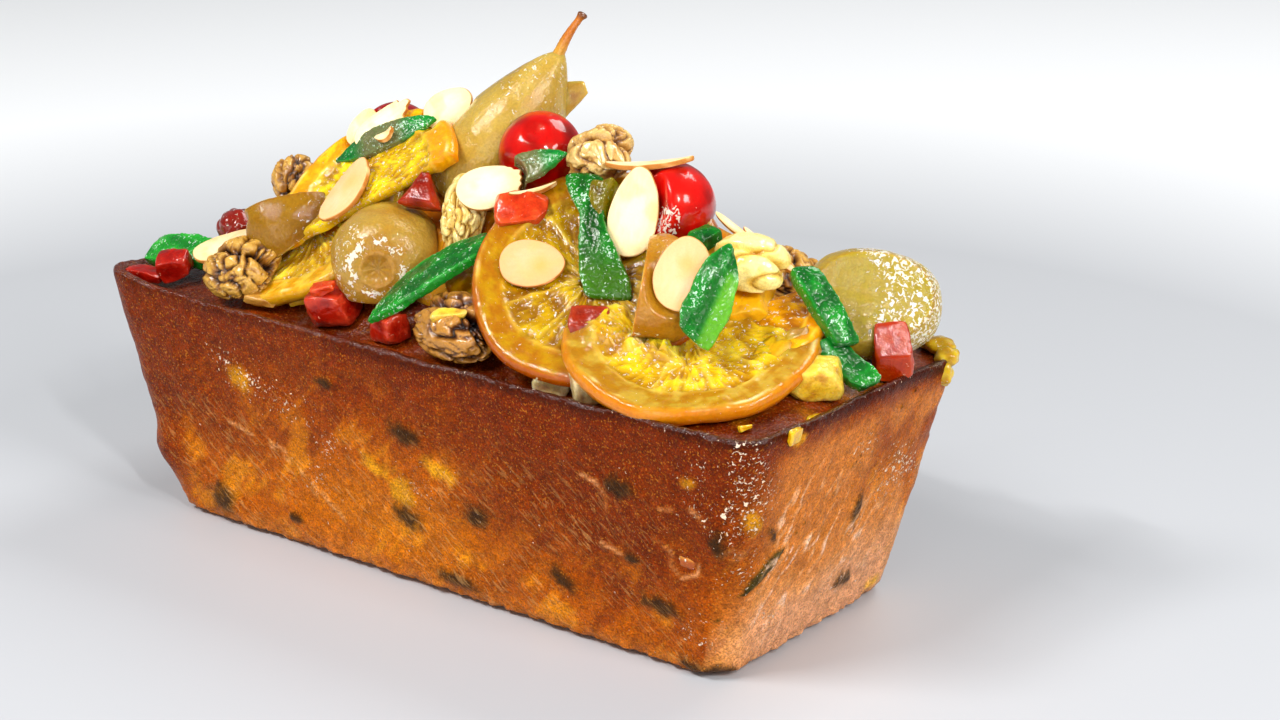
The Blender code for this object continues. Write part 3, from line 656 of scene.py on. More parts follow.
points = np.concatenate((wall, crown)).reshape(-1, 3)
rows, columns = len(wall) + len(crown), wall.shape[1]
on_wall = np.repeat(np.arange(rows) < len(wall), columns)
x, y, z = points.T
half_x, half_y = half_sizes(z)
faces_front = on_wall * (y < -half_y + WALL_DEPTH)
faces_back = on_wall * (y > half_y - WALL_DEPTH)
faces_right = on_wall * (x > half_x - WALL_DEPTH)
faces_left = on_wall * (x < -half_x + WALL_DEPTH)
WALLS = ((x, faces_front), (y, faces_right), (x, faces_back), (y, faces_left))
ragged_edge = 0.45 * lumps(points, 2.6, 11) + 0.25 * lumps(points, 1.1, 12)


def spots(on_each_wall):
    """How strongly each point belongs to one of the spots on its wall, from 0 to 1."""
    strength = np.zeros(len(points))
    for (along, facing), ovals in zip(WALLS, on_each_wall):
        for number, (place, height, width, tall) in enumerate(ovals):
            tilt = 0.35 + 0.45 * math.sin(2.4 * number + width)
            across = (along - place) + tilt * (z - height)
            distance = np.sqrt((across / (0.5 * width)) ** 2 + ((z - height) / (0.5 * tall)) ** 2)
            spot = 1.0 - soft_step(0.35, 1.45, distance + ragged_edge)
            strength = np.maximum(strength, spot * facing)
    return strength


raisin = spots((FRONT_RAISINS, RIGHT_RAISINS, BACK_RAISINS, LEFT_RAISINS))
peel = spots((FRONT_PEEL, RIGHT_PEEL, BACK_PEEL, LEFT_PEEL))
print("points in fruit spots:", int((raisin > 0.5).sum()), "in peel:", int((peel > 0.5).sum()))

# %% [markdown]
# ### Relief of the crust
#
# A baked wall is never flat. Points are pushed outwards by lumps of three sizes and by the spots
# of fruit, the foot is ragged where crumbs came off, and the rim climbs at one corner and sags
# at another, as the photographed loaf does. A row of the rim's waves gives a place, a height
# and how far the wave reaches.

# %% Push the crust in and out
RIM_WAVES = (
    (-103.0, -44.0, 2.4, 16.0),
    (103.0, 44.0, -2.2, 22.0),
    (20.0, -44.0, -0.6, 30.0),
    (-60.0, 44.0, -0.8, 30.0),
)
CRUST_RELIEF = 0.7
RAISIN_RISE = 0.55
PEEL_RISE = 0.30
CORNER_LUMP = (-95.0, -38.0, 17.0)
CORNER_LUMP_RISE = 2.8
WAVES_START = 35.0

ring_grid = points.reshape(rows, columns, 3)
tangent = np.roll(ring_grid, -1, axis=1) - np.roll(ring_grid, 1, axis=1)
outward = np.stack((tangent[..., 1], -tangent[..., 0], np.zeros((rows, columns))), axis=2)
outward /= np.maximum(np.linalg.norm(outward, axis=2, keepdims=True), 1e-9)
outward = outward.reshape(-1, 3)
relief = soft_step(0.3, 3.0, z) * on_wall * (
    CRUST_RELIEF * lumps(points, 14.0, 1) + 0.28 * lumps(points, 4.5, 6)
    + 0.14 * lumps(points, 1.7, 7) + RAISIN_RISE * raisin + PEEL_RISE * peel
)
from_lump = points - CORNER_LUMP
corner_lump = np.exp(-(from_lump[:, 0] ** 2 + from_lump[:, 1] ** 2) / 15.0 ** 2
                     - (from_lump[:, 2] / 7.0) ** 2) * on_wall
foot_crumbs = 1.3 * lumps(points, 2.6, 8) + 0.5 * lumps(points, 1.2, 13)
ragged_foot = bell(z - 1.2, 2.4) * on_wall * foot_crumbs
relief = relief + CORNER_LUMP_RISE * corner_lump
points = points + outward * (relief + ragged_foot)[:, None]
share_up = np.clip((z - WAVES_START) / (RIM_HEIGHT - WAVES_START), 0.0, 1.0) * on_wall
rim_rise = sum(
    height * np.exp(-((x - at_x) ** 2 + (y - at_y) ** 2) / reach ** 2)
    for at_x, at_y, height, reach in RIM_WAVES
)
flat_points = np.column_stack((x, y, np.zeros(len(x))))
near_rim = soft_step(58.0, 65.0, z) * on_wall
points[:, 2] += share_up * (rim_rise + 0.5 * lumps(flat_points, 17.0, 3))
points[:, 2] += near_rim * 0.35 * lumps(flat_points, 3.0, 9)
points[:, 2] += ~on_wall * 0.35 * lumps(points, 3.5, 10)
print("crust pushed out by", round(float(relief.max()), 2), "mm at most")

# %% [markdown]
# ### Colour of the crust
#
# The crust bakes darkest along the rim, where it is thin, and stays golden low on the walls. Its
# paint is laid on in coats: each coat has a colour and a share for every point, and clouds of
# noise keep the edges of the coats from being straight.

# %% Paint of the crust
RIM_BROWN = (62, 21, 4)
DARK_CRUST = (108, 38, 3)
RED_CRUST = (112, 42, 3)
GOLD_CRUST = (178, 86, 9)
PALE_GOLD = (226, 142, 28)
FOOT_TAN = (190, 108, 46)
RIGHT_LIT_TAN = (218, 132, 58)
RIGHT_FLOOR_REFLECTION = (222, 160, 124)
WET_CROWN = (88, 28, 5)
LIT_CROWN = (130, 50, 10)
SYRUP_PUDDLE = (160, 100, 12)
RAISIN_BLACK = (52, 36, 20)
PEEL_YELLOW = (232, 172, 30)


def coats(paint, *layers):
    """Lays coats over the paint, each with its colour and its share of cover."""
    for colour, share in layers:
        paint = mix(paint, colour, share)
    return paint


def zone(along, place, height, width, tall):
    """A wide soft patch of a wall, strongest in its middle."""
    return np.exp(-(((along - place) / width) ** 2 + ((z - height) / tall) ** 2))


cloud = lumps(points, 26.0, 21) + 0.5 * lumps(points, 9.0, 22)
diagonal = np.column_stack((x + y - 0.8 * z, 0.25 * (0.8 * (x + y) + z), 0.0 * z))
streak = lumps(diagonal, 2.4, 23)
golden = 1.0 - soft_step(16.0, 46.0, z + 20.0 * cloud)
golden = np.maximum(golden, faces_front * zone(x, -22.0, 24.0, 44.0, 24.0))
golden *= 1.0 - 0.75 * faces_front * zone(x, -96.0, 34.0, 20.0, 22.0)
golden *= 1.0 - 0.60 * faces_front * zone(x, 76.0, 36.0, 26.0, 20.0)
smoky = soft_step(0.05, 0.5, lumps(diagonal * (1.0, 0.6, 1.0), 8.0, 25) + 0.3 * cloud)
patch = soft_step(0.10, 0.55, lumps(points, 10.0, 24) + 0.45 * streak)
past_corner = soft_step(-44.0, -24.0, y + 7.0 * cloud)
# The right end is painted a lighter tan, painted light on the side that faces right, and pink low down,
# a painted reflection of the pale floor.
right_side_painted_light = faces_right * soft_step(-0.5, 0.3, cloud + 0.4) * past_corner
burnt = 0.50 + 0.42 * soft_step(-60.0, 50.0, x)
wall_paint = coats(
    mix(DARK_CRUST, RED_CRUST, 1.0 - soft_step(44.0, 64.0, z + 9.0 * cloud)),
    (GOLD_CRUST, 0.92 * golden + 0.12 * streak),
    (DARK_CRUST, 0.42 * smoky * (faces_front + faces_back + faces_left > 0)),
    (PALE_GOLD, 0.65 * patch * golden),
    (PALE_GOLD, 0.40 * faces_front * zone(x, -8.0, 16.0, 36.0, 14.0)),
    (FOOT_TAN, 0.8 * (1.0 - soft_step(1.0, 9.0, z + 4.0 * cloud)) * on_wall),
    (RIGHT_LIT_TAN, 0.75 * right_side_painted_light * soft_step(64.0, 55.0, z)),
    (RIGHT_FLOOR_REFLECTION, 0.8 * right_side_painted_light * soft_step(34.0, 12.0, z + 12.0 * cloud)),
    (RIM_BROWN, burnt * soft_step(61.0, 64.6, z + 1.4 * cloud) * on_wall),
    (DARK_CRUST, 0.8 * soft_step(0.2, 0.9, corner_lump + 0.3 * streak)),
)
puddle = soft_step(0.0, 0.35, lumps(flat_points, 8.0, 27)) * soft_step(20.0, 60.0, x)
crown_paint = mix(WET_CROWN, LIT_CROWN, soft_step(-0.4, 0.6, cloud))
crown_paint = mix(crown_paint, SYRUP_PUDDLE, 0.7 * puddle)
paint = coats(np.where(on_wall[:, None], wall_paint, crown_paint),
              (PEEL_YELLOW, 0.6 * peel), (RAISIN_BLACK, 0.85 * raisin))
print("golden share of the crust:", round(float(golden.mean()), 2))

# %% [markdown]
# ### Glaze on the walls
#
# Glaze ran down the walls in short crooked lines and set. Each line is a few corners, given as a
# place along the wall and a height, and a point near a line is raised and painted tan.
# Pale veins and painted glints lie round them, and one shred of dark peel crosses the corner.

# %% Lines of glaze and places of painted glints
FRONT_RUNS = (
    ((55.0, 46.6), (59.9, 45.5), (62.2, 41.9), (62.2, 39.0)),
    ((75.6, 36.0), (80.0, 32.9), (80.2, 29.1), (82.8, 26.4), (87.9, 28.6), (87.8, 31.2)),
    ((87.1, 45.4), (90.3, 43.2)), ((60.0, 29.7), (67.5, 27.7)), ((77.8, 43.0), (81.9, 44.1)),
    ((-52.1, 30.0), (-39.6, 23.8), (-25.7, 13.0)), ((-63.3, 32.5), (-44.1, 28.5), (-33.9, 16.6)),
)
RIGHT_RUNS = (
    ((-19.0, 44.4), (-24.5, 38.9), (-21.9, 31.2), (-28.3, 26.1), (-33.2, 22.6)),
    ((6.2, 28.3), (5.9, 22.8), (-0.7, 19.4), (-6.6, 18.0), (-12.0, 15.4), (-15.4, 11.7)),
    ((-9.6, 26.8), (-17.9, 10.5), (-23.6, 11.3)), ((-6.0, 24.0), (-12.0, 17.5), (-19.0, 14.0)),
    ((-22.0, 42.0), (-27.0, 36.0), (-27.0, 30.0)),
)
SHRED_ENDS = ((96.0, -36.0, 23.4), (100.3, -24.2, 33.4))
CORNER_FACES = (0.57, -0.75, 0.33)
FRONT_GLINT_SPOTS = (
    (-53, 46), (-40, 44), (-27, 35), (-62, 50), (-33, 24), (2, 30), (90, 56), (91, 44), (86, 12),
)
RIGHT_GLINT_SPOTS = (
    (-42, 57), (-41, 44), (-36, 30), (-24, 14), (-49, 64), (-47, 57), (-37, 50), (4, 51),
    (22, 42), (29, 36), (17, 36), (4, 12),
)
BACK_GLINT_SPOTS = ((-44, 42), (-8, 50), (31, 28), (58, 44), (80, 30))
LEFT_GLINT_SPOTS = ((-24, 50), (3, 30), (22, 22))
FAR_AWAY = 99.0


def beside_lines(lines, along, facing):
    """The distance from each point of a wall to the nearest of some drawn lines."""
    nearest = np.full(len(points), FAR_AWAY)
    spot = np.column_stack((along, z))
    for line in lines:
        for start, end in zip(line, line[1:]):
            start = np.array(start)
            step = np.array(end) - start
            share = np.clip((spot - start) @ step / (step @ step), 0.0, 1.0)
            nearest = np.minimum(nearest, np.hypot(*(spot - start - share[:, None] * step).T))
    return np.where(facing, nearest, FAR_AWAY)


wander = 0.8 * lumps(points, 4.0, 31)
run = np.maximum(bell(beside_lines(FRONT_RUNS, x + wander, faces_front), 0.6),
                 bell(beside_lines(RIGHT_RUNS, y + wander, faces_right), 0.6))
run *= soft_step(-0.45, 0.2, lumps(points, 3.0, 32))
glint_spots = sum(
    facing * sum(zone(along, place, height, 7.0, 6.0) for place, height in places)
    for (along, facing), places in zip(WALLS, (FRONT_GLINT_SPOTS, RIGHT_GLINT_SPOTS, BACK_GLINT_SPOTS, LEFT_GLINT_SPOTS))
)
print("points in runs of glaze:", int((run > 0.5).sum()))

# %% Veins, the shred of peel and the painted glints of the walls
SHRED_DARK = (52, 48, 16)
GLAZE_TAN = (226, 160, 112)
VEIN_PALE = (244, 206, 184)
GLAZE_RISE = 0.45

across_veins = 0.84 * y - 0.54 * z + 1.4 * lumps(points, 7.0, 33) + 0.5 * lumps(points, 2.4, 34)
vein_place = np.column_stack((across_veins / 3.4, (0.54 * y + 0.84 * z) / 15.0, 0.0 * z))
broken = soft_step(-0.2, 0.25, lumps(points, 5.0, 36))
veins = bell(lumps(vein_place, 1.0, 35), 0.07) * faces_right * broken
veins *= np.clip(1.2 * zone(y, -20.0, 31.0, 15.0, 18.0) + zone(y, 2.0, 20.0, 20.0, 13.0), 0.0, 1.0)
run = np.maximum(run, veins)
shred_start, shred_end = (np.array(end) for end in SHRED_ENDS)
shred_step = shred_end - shred_start
across_shred = np.cross(shred_step, CORNER_FACES)
from_shred = np.abs((points - shred_start) @ across_shred / np.linalg.norm(across_shred))
along_shred = (points - shred_start) @ shred_step / (shred_step @ shred_step)
lens = np.sqrt(np.clip(1.0 - (2.0 * along_shred - 1.0) ** 2, 0.0, 1.0))
shred = soft_step(1.0, 0.55, (from_shred + 0.2 * ragged_edge) / np.maximum(1.4 * lens, 0.01))
shred = shred * (x > 90.0)
points = points + outward * (GLAZE_RISE * run + GLAZE_RISE * shred)[:, None]
paint = coats(paint, (SHRED_DARK, 0.9 * shred), (GLAZE_TAN, 0.75 * run), (VEIN_PALE, 0.8 * veins))
# Painted glints on the walls: a thin row along the rim, thickest to the right, the glint spots, the
# veins and a little everywhere.
rim_glints = (0.10 + 0.34 * soft_step(-30.0, 60.0, x)) * bell(z - 64.8, 0.8) * on_wall
sheen = 0.10 + 0.35 * veins + 0.60 * np.clip(glint_spots, 0.0, 1.3) + rim_glints
sheen_cover = np.where(on_wall, sheen, 0.15)
print("points in veins:", int((veins > 0.5).sum()), "in the shred:", int((shred > 0.5).sum()))

# %% [markdown]
# ### From rings to a closed loaf
#
# The rings become one mesh, and the loop that is left open at the base is filled. The crown
# carries the same crust with a strong wet coat. A face takes it when it lies high and looks up,
# so that the glossy patch ends inside the rim.

# %% The loaf's mesh
FACES_UP = 0.35
WET_FROM = CROWN_EDGE - 3.0

loaf_mesh_faces = grid_faces(rows, columns)[:, ::-1]
loaf = make_piece("loaf_with_crust", points, loaf_mesh_faces, paint, crust_finish, "crust", "cake",
                  glint_frost=sheen_cover)
form = bmesh.new()
form.from_mesh(loaf.data)
open_edges = [edge for edge in form.edges if edge.is_boundary]
bmesh.ops.edgeloop_fill(form, edges=open_edges)
bmesh.ops.recalc_face_normals(form, faces=form.faces)
for face in form.faces:
    is_high = face.calc_center_median().z / MM > WET_FROM
    face.material_index = int(is_high and face.normal.z > FACES_UP)
form.to_mesh(loaf.data)
form.free()
loaf.data.materials.append(wet_crown_finish)
print("loaf faces:", len(loaf.data.polygons), "closed from", len(open_edges), "open edges")

# %% [markdown]
# ## Almond flakes
#
# A flake is a thin oval cut from a blanched almond. Its face is cream, a line of darker skin runs
# round its edge, and a few flakes have a toasted spot. It curls a little along its length. The
# flakes are made first, because softer pieces below give way where a flake rests on them.

# %% Form and paint of an almond flake
FLAKE_ROWS = 34
FLAKE_COLUMNS = 90
ALMOND_CREAM = (253, 238, 196)
ALMOND_WARM = (248, 182, 134)
ALMOND_TAN = (230, 174, 96)
ALMOND_TOASTED = (236, 166, 84)
ALMOND_SKIN = (186, 118, 48)
TORN_FLAKES = ("almond_over_walnut", "almond_long_top", "fragment_on_leaf")


def almond(name, centre, turn, sizes, seed, spot):
    """The points, faces and paint of a flake. The spot says how toasted it is."""
    length, width = sizes
    polar, spin = rows_and_turns(FLAKE_ROWS, FLAKE_COLUMNS, math.pi)
    reach = np.sin(polar) ** 0.55
    x, y = reach * np.cos(spin), reach * np.sin(spin)
    flat = np.column_stack((x, y, 0.0 * x))
    torn = soft_step(0.3, 0.8, x) if name in TORN_FLAKES else 0.0
    edge = 1.0 + 0.05 * lumps(flat, 0.7, seed) + torn * 0.22 * lumps(flat, 0.3, seed + 9)
    rounding = np.sign(np.cos(polar)) * np.minimum(np.abs(np.cos(polar)) / 0.35, 1.0) ** 0.5
    thick = 0.5 * FLAKE_THICKNESS * rounding
    points = np.column_stack((0.5 * length * x * edge, 0.5 * width * y * (1.0 - 0.16 * x) * edge,
                              thick - 0.5 * FLAKE_THICKNESS + flake_curl(x, y)))
    points[:, 2] += 0.10 * lumps(points, 3.0, seed + 70)
    grain = lumps(points * (0.25, 1.0, 1.0), 0.7, seed + 71)
    pale = mix(ALMOND_CREAM, ALMOND_WARM, np.full(len(x), 1.1 * spot))
    toasted = np.hypot(points[:, 0] - 0.12 * length, points[:, 1] + 0.05 * width)
    skin_line = soft_step(0.965, 0.99, reach) * soft_step(-0.5, 0.0, lumps(points, 2.5, seed + 73))
    paint = coats(
        mix(pale, pale * (0.98, 0.94, 0.86), soft_step(0.2, 0.95, reach + 0.25 * grain)),
        (ALMOND_TAN, 0.30 * soft_step(0.1, 0.6, lumps(points, 3.6, seed + 72))),
        (ALMOND_TOASTED, spot * bell(toasted, 0.16 * length)),
        (ALMOND_SKIN, skin_line))
    rotation, middle = placement(centre, turn)
    return points @ rotation.T + middle, grid_faces(FLAKE_ROWS, FLAKE_COLUMNS), paint


# %% [markdown]
# ### Laying the almond flakes
#
# Each row below gives a flake's centre, the way it is turned, its length and width, and how
# toasted it is. Its place is kept in a list, so that the pieces made later can make room for it.

# %% Place the almond flakes
ALMONDS = (
    ("almond_up_left", (-39, -20.5, 94.5), (85, 43, 9), (20, 11.5), 0.65),
    ("almond_over_walnut", (3, -13, 100.6), (30, 15, -58), (17.5, 11), 0.0),
    ("almond_low_middle", (26, -24.5, 88), (26, 0, -53), (16.5, 12), 0.9),
    ("almond_upright", (45.5, -10, 100.6), (90, 72, -27), (22, 12), 0.0),
    ("almond_by_fold", (70, -23, 93), (95, 68, -22), (17.5, 14), 0.6),
    ("almond_on_cherry", (44, -2, 111.2), (25, 7, 8), (22, 7), 0.2),
    ("almond_by_pear_neck", (-25, 4, 113), (35, 32, -61), (14, 10), 0.0),
    ("almond_round_top", (-50, -1, 104.5), (86, 55, -20), (11, 9), 0.0),
    ("almond_long_top", (-42, -3, 107.5), (42, 38, -47), (17, 8), 0.0),
    ("almond_left_corner", (-73, -30, 76.2), (31, 20, -20), (19, 11), 0.3),
    ("almond_back_slope", (36, 33, 82), (165, 0, -36), (20, 12), 0.4),
)
for seed, (name, centre, turn, sizes, spot) in enumerate(ALMONDS):
    flakes_laid.append((placement(centre, turn), *sizes))
    shape = almond(name, centre, turn, sizes, seed, spot)
    print(make_piece(f"{name}_flake", *shape, almond_finish, "almond", name).name, "made")

# %% [markdown]
# ## Orange slices
#
# A candied slice has three zones: the orange rind, a glassy band of pith inside it, and the flesh,
# whose segments are split by pale skins and filled with small sacs of juice. It is drawn like a
# flattened globe: every point lies on a line from an inner point to the outline, first over the
# upper face and then back under the lower one. The outline is a circle, or part of one where the
# slice was cut.

# %% Grid of a slice
SLICE_COLUMNS = 192
SLICE_STEPS = 28
WHOLE_TURN = 6.2
WIDE_TURN = 5.0


def slice_outline(radius, start, end):
    """Points round the slice, evenly spaced, and whether each lies on a cut."""
    whole = end - start > 2.0 * math.pi - 0.01
    arc_length = radius * (end - start)
    length = arc_length if whole else arc_length + 2.0 * radius
    along = np.linspace(0.0, length, SLICE_COLUMNS, endpoint=False)
    angle = start + np.minimum(along, arc_length) / radius
    reach = np.ones(SLICE_COLUMNS)
    past = along - arc_length
    inwards = (past > 0.0) & (past <= radius)
    outwards = past > radius
    reach[inwards] = 1.0 - past[inwards] / radius
    reach[outwards] = past[outwards] / radius - 1.0
    angle[outwards] = start
    outline = radius * reach[:, None] * np.stack((np.cos(angle), np.sin(angle)), axis=1)
    return outline, (past > 0.0) & (not whole)


def slice_grid(radius, sweep):
    """Points over both faces of a slice, and what each point has to know of its place."""
    start, end = (math.radians(angle) for angle in sweep)
    outline, on_cut = slice_outline(radius, start, end)
    middle = 0.5 * (start + end)
    push = np.array((math.cos(middle), math.sin(middle)))
    span = end - start
    heart = push * radius * (0.0 if span > WHOLE_TURN else 0.10 if span > WIDE_TURN else 0.38)
    ring = np.linspace(0.0, 1.0, SLICE_STEPS) ** 0.8
    shares = np.concatenate((ring, ring[-2::-1]))
    upper = np.concatenate((np.ones(SLICE_STEPS), -np.ones(SLICE_STEPS - 1)))
    flat = (heart + shares[:, None, None] * (outline - heart)[None]).reshape(-1, 2)
    out = np.repeat(shares, SLICE_COLUMNS)
    to_outline = np.tile(np.linalg.norm(outline - heart, axis=1), len(shares))
    return SimpleNamespace(
        flat=flat, level=np.column_stack((flat, np.zeros(len(flat)))), push=push,
        side=np.repeat(upper, SLICE_COLUMNS), rim_gap=(1.0 - out) * to_outline,
        cut_here=np.tile(on_cut, len(shares)) * out ** 4,
        reach=np.linalg.norm(flat, axis=1) / radius, angle=np.arctan2(flat[:, 1], flat[:, 0]),
        faces=grid_faces(len(shares), SLICE_COLUMNS))


print("points in a slice:", SLICE_COLUMNS * (2 * SLICE_STEPS - 1))

# %% [markdown]
# ### Flesh of a slice
#
# Skins run from the middle to the pith like spokes, a little crooked. The sacs between them are
# noise that is stretched along the spokes. Where a slice was torn and not cut, pulp is heaped on
# it in humps and hangs over the edge.

# %% Segments, sacs and torn pulp
SEGMENTS = 10
FLESH_EDGE = 0.74
RIND_ROUNDING = 1.9
TORN_DEPTH = 3.4
TORN_HUMPS = ((-18.0, 5.2, 3.6), (2.0, 2.8, 4.0), (11.0, 5.0, 4.2))
TORN_HEAPS = ((-22.0, -5.0), (-18.0, -6.0), (-12.0, -7.0), (-6.0, -9.0))
HEAP_HEIGHT = 3.8
HEAP_SPREAD = 14.0


def fill_with_flesh(at, radius, seed):
    """Works out where the flesh, its skins and its sacs of juice lie."""
    past_flesh = at.reach - FLESH_EDGE + 0.03 * lumps(at.level, 4.0, seed + 1)
    at.in_flesh = 1.0 - soft_step(-0.035, 0.035, past_flesh)
    crooked = 0.12 * lumps(at.level, 9.0, seed + 2)
    spoke = at.angle * SEGMENTS / (2.0 * math.pi) + crooked + seed * 0.37
    to_skin = np.abs(spoke - np.round(spoke)) * 2.0 * math.pi / SEGMENTS * at.reach * radius
    at.skin = bell(to_skin, 0.55) * at.in_flesh * soft_step(0.04, 0.14, at.reach)
    sac_place = np.column_stack((at.angle * radius * 0.55 / 1.2, at.reach * radius / 3.6,
                                 0.0 * at.angle))
    at.sacs = lumps(sac_place, 1.0, seed + 3) + 0.6 * lumps(sac_place, 0.45, seed + 4)
    at.tear = lumps(at.level, 4.2, seed + 5)


def slice_height(at, thickness, lumpiness, seed):
    """The height of both faces, with a rounded rind and the relief of flesh and pith."""
    at.half = 0.5 * thickness * (1.0 - 0.20 * at.in_flesh)
    from_round = 1.0 - np.clip(at.rim_gap / RIND_ROUNDING, 0.0, 1.0)
    rounding = np.sqrt(np.clip(1.0 - from_round ** 2, 0.0, 1.0))
    pulp = at.in_flesh * (lumpiness * (0.75 * at.sacs + 0.70 * at.tear + 0.35 * at.skin) - 0.25)
    pith_lumps = 0.22 * lumps(at.level, 2.2, seed + 6) + 0.45 * bell(at.reach - FLESH_EDGE, 0.02)
    relief = pulp + (1.0 - at.in_flesh) * pith_lumps
    return at.side * (at.half * rounding + relief * np.minimum(at.rim_gap / 1.5, 1.0))


def tear_open(at, height, seed):
    """Heaps pulp on a torn slice. Gives the new height and how far the pulp hangs over the cut."""
    x, y = at.flat.T
    open_flesh = at.cut_here * (at.reach < 0.88)
    humps = sum(tall * bell(x - place, wide) for place, tall, wide in TORN_HUMPS)
    shreds = 1.1 * lumps(at.level, 1.3, seed + 7)
    torn_edge = 0.6 + 0.6 * TORN_DEPTH * lumps(at.level, 5.0, seed)
    heaped = sum(np.exp(-((x - at_x) ** 2 + (y - at_y) ** 2) / HEAP_SPREAD)
                 for at_x, at_y in TORN_HEAPS)
    height = height + HEAP_HEIGHT * heaped * (at.side > 0) * (1.0 + 0.5 * at.sacs)
    height = height + open_flesh * (3.0 + 0.5 * humps + 1.8 * lumps(at.level, 2.6, seed + 8))
    return height, open_flesh * (torn_edge + humps + shreds)


# %% [markdown]
# ### Paint of a slice
#
# Candied pith is clear in some places and milky in others. The rind shows as a narrow orange band
# round the upper face and covers the edge. The juice is painted darker where the pulp lies low, as
# painted shade, and paler where it stands up, as painted light. A pale line of painted highlight runs
# near the rind on the upper face, and another along the edge of the flesh.

# %% Paint of a slice
CLEAR_PITH = (1.0, 0.87, 0.4)
MILKY_PITH = (1.10, 1.14, 1.6)
SHADED_JUICE = (0.70, 0.56, 0.25)
LIT_JUICE = (1.06, 1.08, 1.4)
WET_GLEAM = (255, 240, 196)
PITH_EDGE_HIGHLIGHT = (250, 226, 140)
SKIN_CREAM = (248, 222, 130)


def slice_paint(at, tints, seed):
    rind, pith, flesh, lumpiness = tints
    clouds = lumps(at.level, 3.4, seed + 9) + 0.6 * lumps(at.level, 1.3, seed + 10)
    rind_edge = at.reach + 0.008 * lumps(at.level, 3.0, seed + 11)
    rind_share = np.where(at.side > 0, 0.8 * soft_step(0.93, 1.0, rind_edge),
                          soft_step(0.91, 0.95, rind_edge))
    # A painted highlight: a broken pale line near the rind on the upper face.
    gleam_line = bell(rind_edge - 0.935, 0.010) * soft_step(-0.2, 0.3, lumps(at.level, 5.0, seed + 12))
    # Painted shade where the pulp lies low and painted light where it stands up.
    depth = soft_step(-0.5, 0.6, 0.5 * at.sacs + 0.6 * at.tear)
    juice = mix(np.array(flesh) * SHADED_JUICE, np.array(flesh) * LIT_JUICE, depth)
    juice = mix(juice, SKIN_CREAM, 0.40 * lumpiness * at.skin)
    return coats(
        mix(np.array(pith) * CLEAR_PITH, np.array(pith) * MILKY_PITH, soft_step(-0.3, 0.5, clouds)),
        (rind, rind_share),
        (WET_GLEAM, 0.7 * gleam_line * (at.side > 0)),
        # A painted highlight along the edge of the flesh.
        (PITH_EDGE_HIGHLIGHT, 0.45 * bell(at.reach - FLESH_EDGE - 0.01, 0.016)),
        (juice, at.in_flesh))


# %% [markdown]
# ### Laying the slices
#
# The slices lie in a loose row, each leaning on the next. Each row below gives a slice's centre,
# the way it is turned, its radius and thickness, the part of the round that is left, how deep it
# is dished, whether its cut is torn, and the colours of its rind, pith and flesh with how lumpy
# the flesh is.

# %% Make and place the orange slices
TORN_SLACK = 5.0
SLICE_SLACK = 1.2


def orange_slice(name, centre, turn, sizes, sweep, dish, seed, torn, tints):
    """A slice that is dished and a little uneven, with pulp hanging over a torn cut."""
    radius, thickness = sizes
    at = slice_grid(radius, sweep)
    fill_with_flesh(at, radius, seed)
    height = slice_height(at, thickness, tints[3], seed)
    overhang = np.zeros(len(height))
    if torn:
        height, overhang = tear_open(at, height, seed)
    circle = np.column_stack((np.cos(at.angle), np.sin(at.angle), 0.0 * at.angle))
    wobble = 1.0 + 0.03 * lumps(circle, 0.5, seed)
    bent = dish * at.reach * at.reach * (0.6 + 0.6 * np.cos(2.0 * at.angle + seed))
    rough = 0.35 * lumps(np.column_stack((at.flat, at.side * at.half)), 5.0, seed)
    points = np.column_stack((at.flat * wobble[:, None] - at.push * overhang[:, None],
                              height + bent + rough))
    # Painted glints lie thinly on the pith and rind and more thickly on the flesh.
    return make_piece(f"{name}_fruit", points, at.faces, slice_paint(at, tints, seed),
                      orange_finish, "orange", name, placement(centre, turn),
                      glint_frost=0.22 + 0.38 * at.in_flesh, slack=TORN_SLACK if torn else SLICE_SLACK,
                      columns=SLICE_COLUMNS)


AMBER = ((176, 70, 0), (162, 114, 0), (190, 150, 2), 1.0)
LEMON = ((222, 122, 6), (166, 128, 30), (230, 190, 24), 1.0)
GOLDEN = ((222, 128, 6), (224, 170, 16), (240, 206, 22), 0.5)
OLIVE = ((196, 140, 12), (212, 168, 40), (240, 204, 46), 0.8)
SMOOTH = ((222, 126, 6), (226, 158, 12), (232, 162, 10), 0.15)
ORANGE_SLICES = (
    ("orange_slice_front", (67, -15.5, 74), (30, 0, -17), (31, 4.6), (180, 360), 1.0, True, LEMON),
    ("orange_slice_low", (40, -17, 85), (25, 4, -38), (31, 4.6), (75, 400), 1.5, False, AMBER),
    ("orange_slice_up", (-33, -18.5, 91), (56, 43, -11), (30, 4.6), (-35, 150), 1.5, False, GOLDEN),
    ("orange_slice_left", (-53, -15, 79), (-6, 13, -37), (26.5, 4.4), (0, 360), 2.0, False, OLIVE),
    ("orange_slice_middle", (16, -8, 89), (11, 9, -39), (28, 4.4), (150, 390), 1.0, False, AMBER),
    ("orange_slice_right", (75, -3, 80), (27, 4, -33), (19, 4.4), (150, 390), -2.0, False, SMOOTH),
    ("orange_slice_back_left", (-45, 20, 80.5), (185, 0, -33), (31, 4.6), (0, 360), 2.0, False, AMBER),
    ("orange_slice_back_right", (29, 20, 84), (175, 0, -36), (31, 4.6), (150, 400), 1.5, False, LEMON),
)
for seed, (name, centre, turn, sizes, sweep, dish, torn, tints) in enumerate(ORANGE_SLICES):
    piece = orange_slice(name, centre, turn, sizes, sweep, dish, seed, torn, tints)
    print(piece.name, len(piece.data.polygons), "faces")

# %% [markdown]
# ## Pears
#
# The pears were poached and candied whole or cut. A globe is drawn out along X, thinner towards
# the neck, with a hollow at the flower end, where the skin is puckered. Fine wrinkles run along
# the skin.

